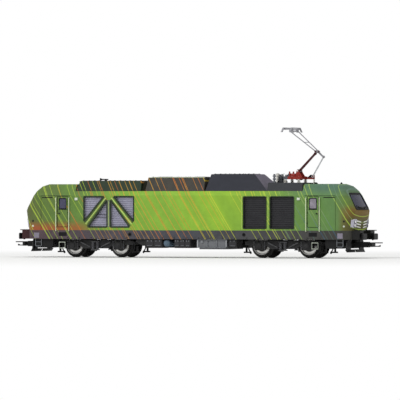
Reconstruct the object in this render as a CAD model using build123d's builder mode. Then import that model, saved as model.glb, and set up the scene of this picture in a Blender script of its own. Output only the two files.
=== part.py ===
from build123d import *
import os
from math import sqrt

# Scale model of a dual-mode electric locomotive: two cabs, two swivelling bogies with four driven axles,
# and one raised pantograph. Millimetres. +X is the pantograph end, +Z is up, and the flanges stand on Z = 0.

# Running gear
flange_depth = 1.1
tread_radius = 6.3
wheel_back_gap = 14.4
wheel_width = 2.8
flange_width = 0.8
axle_radius = 0.75
journal_clearance = 0.05
wheelbase = 31.0
bogie_pitch = 125.0

# Heights, each above the rail head, which lies one flange depth above the ground
rail = flange_depth
sill_bottom = rail + 10.4
shell_bottom = rail + 15.9
roof_seat = rail + 40.3
buffer_height = rail + 12.2
coupler_height = rail + 7.3

# Body
body_width = 34.6
nose_overhang = 47.8
nose_reach = bogie_pitch / 2 + nose_overhang
nose_plan_radius = 91.0
wall = 1.2
fit = 0.05
half_width = body_width / 2
inner_half = half_width - wall

# Body sections: height above rail, set back from the nose tip, narrower than the side wall, corner radius
shell_sections = [
    (15.9, 1.7, 0.0, 5.0),
    (28.0, 0.0, 0.0, 5.0),
    (30.0, 0.7, 0.0, 5.0),
    (37.5, 4.8, 0.0, 5.0),
    (40.3, 6.6, 1.8, 4.6),
    (43.2, 9.9, 3.6, 4.2),
    (44.6, 14.0, 5.7, 3.6),
]
well_rear = -bogie_pitch / 2 - 12.9
well_front = bogie_pitch / 2 + 13.4
gutter = rail + shell_sections[3][0]
cab_roof = rail + shell_sections[-1][0]

# Windows and doors
screen_bottom = rail + 28.9
screen_top = rail + 38.9
screen_half_bottom = 11.6
screen_half_top = 10.2
door_x = bogie_pitch / 2 + 20.8
door_width = 7.2
door_bottom = rail + 17.9
door_top = rail + 37.0
door_window_width = 4.8
door_window_height = 6.5
door_window_z = rail + 32.5
groove = 0.35
groove_depth = 0.3
seam_x = nose_reach - 12.3
vent_slot_x = seam_x - 4.2
vent_slot_length = 7.5
vent_slot_z = rail + 36.3

# Side grilles
truss_x = -bogie_pitch / 2 + 10.3
truss_length = 33.6
truss_bottom = rail + 17.8
truss_top = rail + 36.9
truss_apex_z = rail + 34.6
truss_shoulder_z = rail + 21.4
truss_post_half = 1.15
truss_apex_half = 3.4
truss_foot_inset = 2.8
panel_rear = bogie_pitch / 2 - 25.0
panel_lengths = (15.2, 15.8)
panel_gap = 2.4
panel_front = panel_rear + panel_lengths[0] + panel_gap
panel_spans = [(panel_rear, panel_rear + panel_lengths[0]), (panel_front, panel_front + panel_lengths[1])]
panel_bottom = rail + 17.0
panel_top = rail + 36.7
louvre_pitch = 1.3
louvre_depth = 0.5
louvre_plate = 0.6
grille_lap = 0.7

# Roof sections: node, rear foot X, front foot X, rear end run, front end run, top height, top half width
roof_rear_length = 43.7
roof_hood_length = 40.9
roof_front_length = 22.9
roof_end_gap = 0.3
roof_rear_x = well_rear + roof_end_gap
roof_front_x = well_front - roof_end_gap
roof_hood_x = roof_front_x - roof_front_length
roof_sections = [
    ("roof_rear", roof_rear_x, roof_rear_x + roof_rear_length, 1.8, 0.6, 46.6, 12.6),
    ("roof_middle", roof_rear_x + roof_rear_length + 3.2, roof_hood_x - roof_hood_length - 1.0, 0.6, 0.6, 48.8, 12.0),
    ("roof_hood", roof_hood_x - roof_hood_length, roof_hood_x, 1.2, 10.8, 50.7, 8.5),
    ("roof_front", roof_hood_x, roof_front_x, 0.0, 0.4, 45.4, 13.6),
]
roof_half = half_width - shell_sections[4][2]
roof_round = 1.4

# Chassis
sill_wall = 1.3
well_half = 29.0
floor_bottom = rail + 14.4
pivot_radius = 2.0
pivot_boss = 4.2
pivot_collar = 2.8
bearing_gap = 0.2
pocket_width = 4.2
pocket_height = 1.3
pocket_z = rail + 13.4
pocket_depth = 0.7
motor_size = (52.0, 15.0, 16.0)

# Ends
housing_length = 3.8
housing_reach = nose_reach - shell_sections[0][1] + housing_length
housing_width = 7.5
housing_height = 5.4
buffer_spacing = 20.1
buffer_stroke = 2.4
buffer_reach = housing_reach + buffer_stroke
buffer_head = (0.9, 7.4, 3.9)
buffer_shank = 1.6
guard_x = nose_reach - 6.2
guard_half = 15.8
guard_gap = 3.0
end_box_front = nose_reach - 7.6
end_box_rear = bogie_pitch / 2 + 28.2
end_box_inner = 6.0
end_box_bottom = rail + 4.9
buffer_step = 0.5
guard_bottom = rail + 2.6
guard_height = 1.8
coupler_pivot = nose_reach - 12.3
coupler_pin = 1.0
coupler_length = 23.7
coupler_body_x = 11.4
coupler_body = (8.6, 4.2, 3.4)
coupler_reach = coupler_pivot + coupler_length

# Under the floor between the bogies, along the clear length there as shares from its middle
# Boxes: node, rear end, front end, bottom height, inner half width, set in from the side wall
floor_length = bogie_pitch - 2 * well_half
floor_boxes = [
    ("battery_boxes", -0.415, -0.248, 4.9, 5.0, 0.9),
    ("equipment_boxes", -0.128, 0.033, 4.9, 5.0, 1.1),
    ("filter_boxes", 0.406, 0.487, 4.9, 5.0, 1.7),
]
reservoir_x = -0.207 * floor_length
reservoir_z = rail + 7.9
reservoir_radius = 2.1
tank_rear = 0.097 * floor_length
tank_front = 0.393 * floor_length
tank_half = half_width - 1.1
tank_bottom = rail + 4.2
tank_base = 1.0
tank_rib = 0.4

# Bogies
frame_inner = wheel_back_gap / 2 + wheel_width + 0.9
frame_plate = 2.4
frame_top = rail + 9.8
frame_end = 25.2
frame_outer = frame_inner + frame_plate
pedestal_half = 3.2
bolster_half = 6.0
bolster_bottom = rail + 7.5
beam_width = 1.6
gear_case_half = 3.2
gear_case_height = 9.0
gear_case_z = rail + 7.2
axle_z = rail + tread_radius
pipe_radius = 0.4
step_x = 21.7
step_length = 4.4
step_depth = 2.8

# Pantograph, in the middle plane: X and height above rail of each pin, and the angles of its fold
panto_x = bogie_pitch / 2 + 5.6
panto_pivot = (panto_x, rail + 52.5)
panto_elbow = (panto_x + 11.7, rail + 64.6)
panto_top = (panto_x - 3.6, rail + 77.2)
panto_rod_foot = (panto_x + 8.0, rail + 49.3)
panto_tail = (panto_x + 15.1, rail + 61.3)
panto_base_rear = panto_x - 8.2
panto_base_front = panto_x + 3.0
panto_base_half = 6.0
panto_base_z = rail + 47.5
panto_pin = 0.45
arm_half = 0.9
fork_gap = 0.2
fork_plate = 0.6
lower_tube = 0.55
upper_tube = 0.32
stay_radius = 0.2
elbow_pin_half = 3.4
splay_elbow = 2.6
splay_top = 7.2
head_tube_half = 7.6
strip_spacing = 5.4
strip_half = 11.0
strip_flat = 7.6
strip_droop = 2.9
strip_top = rail + 79.4
head_set_back = 1.5

# Small fittings
rail_wire = 0.2
rail_stand_off = 0.65
rail_bottom = rail + 17.0
rail_top_end = rail + 36.2
rail_spacing = 8.8
lamp_proud = 0.35
lamp_inner = 9.6
lamp_outer = 14.4
lamp_bottom = rail + 17.7
lamp_top = rail + 23.0
camera_x = bogie_pitch / 2 + 11.5
camera_z = rail + 35.3
horn_x = -bogie_pitch / 2 + 0.2
aerial_x = well_front + 2.8
aerial_front_x = nose_reach - 16.8
switch_x = panto_x - 11.1
insulator_x = panto_x - 13.9
insulator_y = 7.0
insulator_top = rail + 50.8

os.makedirs("parts", exist_ok=True)


def write_part(part, name):
    part.label = name
    export_step(part, f"parts/{name}.step")


def plan_outline(inset, set_back, narrower, corner):
    """Plan of the body at one height: bowed ends, straight sides and rounded corners."""
    length = nose_reach - set_back - inset
    width = half_width - narrower - inset
    radius = nose_plan_radius - inset
    side_end = length - radius + sqrt(radius**2 - width**2)
    with BuildSketch() as plan:
        with BuildLine():
            Line((-side_end, -width), (side_end, -width))
            ThreePointArc((side_end, -width), (length, 0), (side_end, width))
            Line((side_end, width), (-side_end, width))
            ThreePointArc((-side_end, width), (-length, 0), (-side_end, -width))
        make_face()
        fillet(plan.vertices(), corner - inset)
    return plan.sketch


def body_envelope(inset):
    """The body's outer form, or the same form set in on all sides but the open bottom."""
    with BuildPart() as envelope:
        for height, set_back, narrower, corner in shell_sections:
            top_inset = inset if height == shell_sections[-1][0] else 0
            with BuildSketch(Plane.XY.offset(rail + height - top_inset)):
                add(plan_outline(inset, set_back, narrower, corner))
        loft(ruled=True)
    return envelope.part


def windscreen_outline(inset):
    """Half-rounded trapezoid of a windscreen, drawn in the cross plane (Y, Z)."""
    with BuildSketch() as outline:
        with BuildLine():
            Polyline(
                (-screen_half_bottom + inset, screen_bottom + inset),
                (screen_half_bottom - inset, screen_bottom + inset),
                (screen_half_top - inset, screen_top - inset),
                (-screen_half_top + inset, screen_top - inset),
                close=True,
            )
        make_face()
        fillet(outline.vertices(), 1.4 - inset)
    return outline.sketch


# Outer form, the hollow inside it, and the skin that the glass is cut from
outer_form = body_envelope(0)
inner_form = body_envelope(wall)
glass_outer = body_envelope(0.15)
glass_inner = body_envelope(wall - 0.15)
well_length = well_front - well_rear
well_centre = (well_front + well_rear) / 2

with BuildPart() as cavity:
    add(inner_form)
    with Locations((well_centre, 0, roof_seat - wall)):
        Box(
            well_length + 2 * wall,
            body_width,
            cab_roof,
            align=(Align.CENTER, Align.CENTER, Align.MIN),
            mode=Mode.SUBTRACT,
        )

# Truss bays in the rear side walls, between a middle post and two slanting bars: corners as X and Z
truss_rear_x = truss_x - truss_length / 2
truss_front_x = truss_x + truss_length / 2
truss_bays = []
for way, truss_end in ((-1, truss_rear_x), (1, truss_front_x)):
    truss_bays.append([
        (truss_end, truss_top),
        (truss_x + way * truss_apex_half, truss_top),
        (truss_end, truss_shoulder_z),
    ])
    truss_bays.append([
        (truss_x + way * truss_post_half, truss_apex_z),
        (truss_x + way * truss_post_half, truss_bottom),
        (truss_end - way * truss_foot_inset, truss_bottom),
    ])


def bay_outline(corners):
    """One bay of the truss with its corners rounded."""
    with BuildSketch() as bay:
        with BuildLine():
            Polyline(*corners, close=True)
        make_face()
        fillet(bay.vertices(), 0.4)
    return bay.sketch


screen_start = nose_reach - 22
screen_cut = 25.0

with BuildPart() as body_shell:
    add(outer_form)
    with Locations((well_centre, 0, roof_seat)):
        Box(
            well_length,
            body_width,
            cab_roof,
            align=(Align.CENTER, Align.CENTER, Align.MIN),
            mode=Mode.SUBTRACT,
        )
    add(cavity.part, mode=Mode.SUBTRACT)
    for end in (1, -1):
        with BuildSketch(Plane.YZ.offset(end * screen_start)):
            add(windscreen_outline(0))
        extrude(amount=end * screen_cut, mode=Mode.SUBTRACT)
    with BuildSketch(Plane.XZ):
        with Locations((door_x, door_window_z), (-door_x, door_window_z)):
            RectangleRounded(door_window_width, door_window_height, 0.8)
    extrude(amount=body_width, both=True, mode=Mode.SUBTRACT)
    with BuildSketch(Plane.XZ):
        for corners in truss_bays:
            add(bay_outline(corners))
        for x0, x1 in panel_spans:
            with Locations(((x0 + x1) / 2, (panel_bottom + panel_top) / 2)):
                RectangleRounded(x1 - x0, panel_top - panel_bottom, 0.8)
    extrude(amount=body_width, both=True, mode=Mode.SUBTRACT)
    for side in (1, -1):
        with BuildSketch(Plane.XZ.offset(side * half_width)):
            for end in (1, -1):
                with Locations((end * door_x, (door_bottom + door_top) / 2)):
                    RectangleRounded(door_width + groove, door_top - door_bottom + groove, 0.9)
                    RectangleRounded(
                        door_width - groove,
                        door_top - door_bottom - groove,
                        0.6,
                        mode=Mode.SUBTRACT,
                    )
                with Locations((end * seam_x, (shell_bottom + door_top) / 2)):
                    Rectangle(groove, door_top - shell_bottom)
                with Locations((end * vent_slot_x, vent_slot_z)):
                    SlotOverall(vent_slot_length, 0.6)
        extrude(amount=-side * groove_depth, mode=Mode.SUBTRACT)

# The shell's panels, as boxes that part it: node, rear X, front X, bottom, top
shell_panels = [
    ("side_walls", -seam_x, seam_x, shell_bottom, gutter),
    ("roof_deck", well_rear, well_front, gutter, cab_roof),
    ("cab_roofs", well_front, seam_x, gutter, cab_roof),
    ("cab_roofs", -seam_x, well_rear, gutter, cab_roof),
    ("noses", seam_x, nose_reach, shell_bottom, cab_roof),
    ("noses", -nose_reach, -seam_x, shell_bottom, cab_roof),
]
for name in dict.fromkeys(row[0] for row in shell_panels):
    with BuildPart() as panel:
        for panel_name, rear_x, front_x, bottom, top in shell_panels:
            if panel_name == name:
                with Locations(((rear_x + front_x) / 2, 0, bottom)):
                    Box(
                        front_x - rear_x,
                        body_width,
                        top - bottom,
                        align=(Align.CENTER, Align.CENTER, Align.MIN),
                    )
        add(body_shell.part, mode=Mode.INTERSECT)
    write_part(panel.part, name)

with BuildPart() as windscreens:
    add(glass_outer)
    add(glass_inner, mode=Mode.SUBTRACT)
    with BuildSketch(Plane.YZ.offset(screen_start)):
        add(windscreen_outline(fit))
    with BuildSketch(Plane.YZ.offset(-screen_start - screen_cut)):
        add(windscreen_outline(fit))
    extrude(amount=screen_cut, mode=Mode.INTERSECT)
write_part(windscreens.part, "windscreens")

with BuildPart() as door_windows:
    with BuildSketch(Plane.XZ.offset(half_width - 0.2)):
        with Locations((door_x, door_window_z), (-door_x, door_window_z)):
            RectangleRounded(door_window_width - 2 * fit, door_window_height - 2 * fit, 0.8 - fit)
    extrude(amount=0.2 - wall)
    mirror(about=Plane.XZ)
write_part(door_windows.part, "door_windows")


def louvre_profile(bottom, top):
    """Cross-section (Y, Z) of a louvred plate, its slats facing -Y against the wall's inner face."""
    slats = round((top - bottom) / louvre_pitch)
    step = (top - bottom) / slats
    teeth = []
    for slat in range(slats):
        foot = bottom + slat * step
        teeth.append((-inner_half, foot))
        teeth.append((-inner_half, foot + 0.4 * step))
        teeth.append((-inner_half + louvre_depth, foot + 0.55 * step))
        teeth.append((-inner_half + louvre_depth, foot + step))
    back = -inner_half + louvre_depth + louvre_plate
    with BuildSketch() as profile:
        with BuildLine():
            Polyline(*teeth, (back, top), (back, bottom), close=True)
        make_face()
    return profile.sketch


with BuildPart() as truss_grilles:
    with BuildSketch(Plane.YZ.offset(truss_rear_x - grille_lap)):
        add(louvre_profile(truss_bottom - grille_lap, truss_top))
    extrude(amount=truss_length + 2 * grille_lap)
    mirror(about=Plane.XZ)
write_part(truss_grilles.part, "truss_grilles")

with BuildPart() as side_panels:
    for x0, x1 in panel_spans:
        with BuildSketch(Plane.YZ.offset(x0 - grille_lap)):
            add(louvre_profile(panel_bottom - grille_lap, panel_top))
        extrude(amount=x1 - x0 + 2 * grille_lap)
    mirror(about=Plane.XZ)
write_part(side_panels.part, "side_panels")

for name, rear_foot, front_foot, rear_run, front_run, top, top_half in roof_sections:
    with BuildPart() as roof_section:
        with BuildSketch(Plane.XZ):
            with BuildLine():
                Polyline(
                    (rear_foot, roof_seat),
                    (front_foot, roof_seat),
                    (front_foot - front_run, rail + top),
                    (rear_foot + rear_run, rail + top),
                    close=True,
                )
            make_face()
        extrude(amount=body_width, both=True)
        with BuildSketch(Plane.YZ.offset(rear_foot)) as section:
            with BuildLine():
                Polyline(
                    (-roof_half, roof_seat),
                    (roof_half, roof_seat),
                    (top_half, rail + top),
                    (-top_half, rail + top),
                    close=True,
                )
            make_face()
            fillet(section.vertices().group_by(Axis.Y)[-1], roof_round)
        extrude(amount=front_foot - rear_foot, mode=Mode.INTERSECT)
    write_part(roof_section.part, name)

# Chassis: floor plate with the pins that the bogies turn on, side sills, centre block, and headstocks
collar_top = bolster_bottom - bearing_gap
collar_height = 0.6
coupler_half = 0.7
coupler_top = coupler_height + coupler_half + bearing_gap / 2
coupler_bottom = coupler_height - coupler_half - bearing_gap / 2
floor_half = bogie_pitch / 2 + well_half
sill_inner = half_width - sill_wall

with BuildPart() as chassis_floor:
    with Locations((0, 0, floor_bottom)):
        Box(
            2 * floor_half,
            2 * sill_inner,
            shell_bottom - floor_bottom,
            align=(Align.CENTER, Align.CENTER, Align.MIN),
        )
    # Bearing boss, pin and collar under the floor: radius, lowest point
    for radius, lowest in (
        (pivot_boss, frame_top + bearing_gap),
        (pivot_radius, collar_top),
    ):
        with BuildSketch(Plane.XY.offset(floor_bottom)):
            with Locations((bogie_pitch / 2, 0), (-bogie_pitch / 2, 0)):
                Circle(radius)
        extrude(amount=lowest - floor_bottom)
    with BuildSketch(Plane.XY.offset(collar_top)):
        with Locations((bogie_pitch / 2, 0), (-bogie_pitch / 2, 0)):
            Circle(pivot_collar)
    extrude(amount=-collar_height)
write_part(chassis_floor.part, "chassis_floor")

with BuildPart() as side_sills:
    with Locations((0, -sill_inner, sill_bottom)):
        Box(
            2 * floor_half,
            sill_wall,
            shell_bottom - sill_bottom,
            align=(Align.CENTER, Align.MAX, Align.MIN),
        )
    with Locations((door_x, -half_width, pocket_z), (-door_x, -half_width, pocket_z)):
        Box(pocket_width, 2 * pocket_depth, pocket_height, mode=Mode.SUBTRACT)
    mirror(about=Plane.XZ)
write_part(side_sills.part, "side_sills")

with BuildPart() as chassis_centre:
    with Locations((0, 0, sill_bottom)):
        Box(
            bogie_pitch - 2 * well_half,
            2 * sill_inner,
            floor_bottom - sill_bottom,
            align=(Align.CENTER, Align.CENTER, Align.MIN),
        )
write_part(chassis_centre.part, "chassis_centre")

with BuildPart() as headstocks:
    with BuildSketch(Plane.XY.offset(sill_bottom)):
        add(plan_outline(0, *shell_sections[0][1:]))
    extrude(amount=shell_bottom - sill_bottom)
    with Locations((0, 0, sill_bottom)):
        Box(
            2 * floor_half,
            body_width,
            shell_bottom,
            align=(Align.CENTER, Align.CENTER, Align.MIN),
            mode=Mode.SUBTRACT,
        )
    # Coupler boss, pin and collar below: radius, highest point, lowest point
    for radius, highest, lowest in (
        (2 * coupler_pin, sill_bottom, coupler_top),
        (coupler_pin, sill_bottom, coupler_bottom),
        (1.6 * coupler_pin, coupler_bottom, coupler_bottom - collar_height),
    ):
        with BuildSketch(Plane.XY.offset(highest)):
            with Locations((coupler_pivot, 0), (-coupler_pivot, 0)):
                Circle(radius)
        extrude(amount=lowest - highest)
write_part(headstocks.part, "headstocks")

with BuildPart() as motor:
    with Locations((0, 0, shell_bottom)):
        Box(*motor_size, align=(Align.CENTER, Align.CENTER, Align.MIN))
write_part(motor.part, "motor")

# Cab fittings: floor, rear wall, driving desk and seat, as one moulding in each cab
cab_floor = 1.0
cab_rear = well_front + wall + fit
desk_front = nose_reach - 6.5
with BuildPart() as cab_interiors:
    with BuildSketch(Plane.XZ):
        with BuildLine():
            Polyline(
                (cab_rear, shell_bottom),
                (desk_front, shell_bottom),
                (desk_front, screen_bottom - 2.0),
                (desk_front - 4.5, screen_bottom - 3.2),
                (desk_front - 5.5, shell_bottom + cab_floor),
                (cab_rear + 1.0, shell_bottom + cab_floor),
                (cab_rear + 1.0, screen_top - 1.0),
                (cab_rear, screen_top - 1.0),
                close=True,
            )
        make_face()
    extrude(amount=inner_half - 4.0, both=True)
    with Locations((desk_front - 12.0, -4.0, shell_bottom + cab_floor)):
        Box(4.0, 4.4, 4.5, align=(Align.CENTER, Align.CENTER, Align.MIN))
    with Locations((desk_front - 14.4, -4.0, shell_bottom + cab_floor)):
        Box(1.2, 4.4, 11.0, align=(Align.CENTER, Align.CENTER, Align.MIN))
    mirror(about=Plane.YZ)
write_part(cab_interiors.part, "cab_interiors")

# Ends: buffer housings against the headstocks, buffers, and rail guards hung below
with BuildPart() as buffer_housings:
    for side in (1, -1):
        with Locations((housing_reach, side * buffer_spacing / 2, buffer_height + 0.9)):
            Box(
                housing_reach - nose_reach + 8.0,
                housing_width,
                housing_height,
                align=(Align.MAX, Align.CENTER, Align.CENTER),
            )
        with Locations((housing_reach + 1.6, side * buffer_spacing / 2, buffer_height + 0.9 + housing_height / 2)):
            Box(
                housing_length + 1.0,
                housing_width - 1.0,
                buffer_step,
                align=(Align.MAX, Align.CENTER, Align.MIN),
            )
    mirror(about=Plane.YZ)
    add(headstocks.part, mode=Mode.SUBTRACT)
write_part(buffer_housings.part, "buffer_housings")

with BuildPart() as end_boxes:
    for side in (1, -1):
        with Locations((end_box_rear, side * (end_box_inner + half_width - 2.0) / 2, sill_bottom)):
            Box(
                end_box_front - end_box_rear,
                half_width - 2.0 - end_box_inner,
                sill_bottom - end_box_bottom,
                align=(Align.MIN, Align.CENTER, Align.MAX),
            )
    chamfer(end_boxes.edges().group_by(Axis.Z)[0].filter_by(Axis.Y), 1.4)
    mirror(about=Plane.YZ)
write_part(end_boxes.part, "end_boxes")

with BuildPart() as buffers:
    for side in (1, -1):
        with BuildSketch(Plane.YZ.offset(housing_reach)):
            with Locations((side * buffer_spacing / 2, buffer_height)):
                Circle(buffer_shank)
        extrude(amount=buffer_reach - buffer_head[0] - housing_reach)
        with BuildSketch(Plane.YZ.offset(buffer_reach)):
            with Locations((side * buffer_spacing / 2, buffer_height)):
                RectangleRounded(buffer_head[1], buffer_head[2], 0.8)
        extrude(amount=-buffer_head[0])
    chamfer(buffers.faces().filter_by(Axis.X).group_by(Axis.X)[-1].edges(), 0.3)
    mirror(about=Plane.YZ)
write_part(buffers.part, "buffers")

with BuildPart() as rail_guards:
    with BuildSketch(Plane.XZ):
        with BuildLine():
            Polyline(
                (guard_x - 0.5, guard_bottom + guard_height),
                (guard_x + 0.7, guard_bottom),
                (guard_x + 1.5, guard_bottom),
                (guard_x + 0.7, guard_bottom + guard_height),
                close=True,
            )
        make_face()
    extrude(amount=guard_half, both=True)
    with Locations((guard_x, 0, guard_bottom)):
        Box(8.0, guard_gap, 4 * guard_height, mode=Mode.SUBTRACT)
    for side in (1, -1):
        with Locations((guard_x, side * (guard_half - 4.0), sill_bottom)):
            Box(
                1.0,
                4.0,
                sill_bottom - guard_bottom - 0.6 * guard_height,
                align=(Align.CENTER, Align.CENTER, Align.MAX),
            )
    mirror(about=Plane.YZ)
write_part(rail_guards.part, "rail_guards")

# Boxes under the floor, one on each side of the middle
for name, rear_share, front_share, bottom, inner, set_in in floor_boxes:
    rear_x = rear_share * floor_length
    front_x = front_share * floor_length
    outer = half_width - set_in
    with BuildPart() as floor_box:
        with Locations(((rear_x + front_x) / 2, (inner + outer) / 2, sill_bottom)):
            Box(
                front_x - rear_x,
                outer - inner,
                sill_bottom - rail - bottom,
                align=(Align.CENTER, Align.CENTER, Align.MAX),
            )
        chamfer(floor_box.edges().group_by(Axis.Z)[0].filter_by(Axis.X), 0.6)
        mirror(about=Plane.XZ)
    write_part(floor_box.part, name)

with BuildPart() as air_reservoir:
    with BuildSketch(Plane.XZ):
        with Locations((reservoir_x, reservoir_z)):
            Circle(reservoir_radius)
    extrude(amount=half_width - 1.2, both=True)
    chamfer(air_reservoir.edges().filter_by(GeomType.CIRCLE), 0.5)
    for side in (1, -1):
        with Locations((reservoir_x, side * 9.0, sill_bottom)):
            Box(
                reservoir_radius,
                1.6,
                sill_bottom - reservoir_z,
                align=(Align.CENTER, Align.CENTER, Align.MAX),
            )
write_part(air_reservoir.part, "air_reservoir")

tank_centre = (tank_rear + tank_front) / 2
tank_length = tank_front - tank_rear
tank_height = sill_bottom - tank_bottom - tank_base
with BuildPart() as fuel_tank:
    with Locations((tank_centre, 0, sill_bottom)):
        Box(tank_length, 2 * tank_half, tank_height, align=(Align.CENTER, Align.CENTER, Align.MAX))
    for side in (1, -1):
        with BuildSketch(Plane.XZ.offset(side * tank_half)):
            with GridLocations(tank_length / 3 - tank_rib, 0, 3, 1):
                with Locations((tank_centre, sill_bottom - tank_height / 2)):
                    Rectangle(tank_length / 3 - 3 * tank_rib, tank_height - 3 * tank_rib)
        extrude(amount=-side * tank_rib, mode=Mode.SUBTRACT)
    with Locations((tank_centre, 0, tank_bottom)):
        Box(
            tank_length - 2.4,
            2 * tank_half - 2.4,
            tank_base,
            align=(Align.CENTER, Align.CENTER, Align.MIN),
        )
write_part(fuel_tank.part, "fuel_tank")

# Wheel profile: radius, distance out from the wheel's back
flange_radius = tread_radius + flange_depth
wheel_profile = [
    (axle_radius, 0.0),
    (flange_radius - 0.2, 0.0),
    (flange_radius, 0.4),
    (tread_radius, flange_width),
    (tread_radius - 0.15, wheel_width),
    (tread_radius - 1.2, wheel_width),
    (tread_radius - 1.6, wheel_width - 0.8),
    (axle_radius, wheel_width - 0.4),
]
axle_half = frame_outer - 0.2
ends = [("front", 1), ("rear", -1)]

for end_name, end in ends:
    for place, reach in (("outer", 1), ("inner", -1)):
        axle_x = end * (bogie_pitch / 2 + reach * wheelbase / 2)
        with BuildPart() as wheels:
            with BuildSketch(Plane(origin=(axle_x, 0, axle_z), x_dir=(1, 0, 0), z_dir=(0, 0, 1))):
                with BuildLine():
                    Polyline(*[(r, wheel_back_gap / 2 + out) for r, out in wheel_profile], close=True)
                make_face()
            revolve(axis=Axis((axle_x, 0, axle_z), (0, 1, 0)))
            mirror(about=Plane.XZ)
        write_part(wheels.part, f"wheels_{end_name}_{place}")
        with BuildPart() as axle:
            with BuildSketch(Plane.XZ):
                with Locations((axle_x, axle_z)):
                    Circle(axle_radius)
            extrude(amount=axle_half, both=True)
        write_part(axle.part, f"axle_{end_name}_{place}")

# Side frame outline from the middle of the bogie outwards: distance from the pivot, height above rail
axle_reach = wheelbase / 2
side_frame = [
    (0.0, 4.5),
    (8.5, 4.5),
    (10.3, 6.0),
    (axle_reach - pedestal_half, 6.0),
    (axle_reach - pedestal_half, 3.7),
    (axle_reach + pedestal_half, 3.7),
    (axle_reach + pedestal_half, 6.4),
    (frame_end - 3.0, 6.8),
    (frame_end, 6.8),
    (frame_end, 9.0),
    (frame_end - 3.4, frame_top - rail),
    (0.0, frame_top - rail),
]

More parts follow.
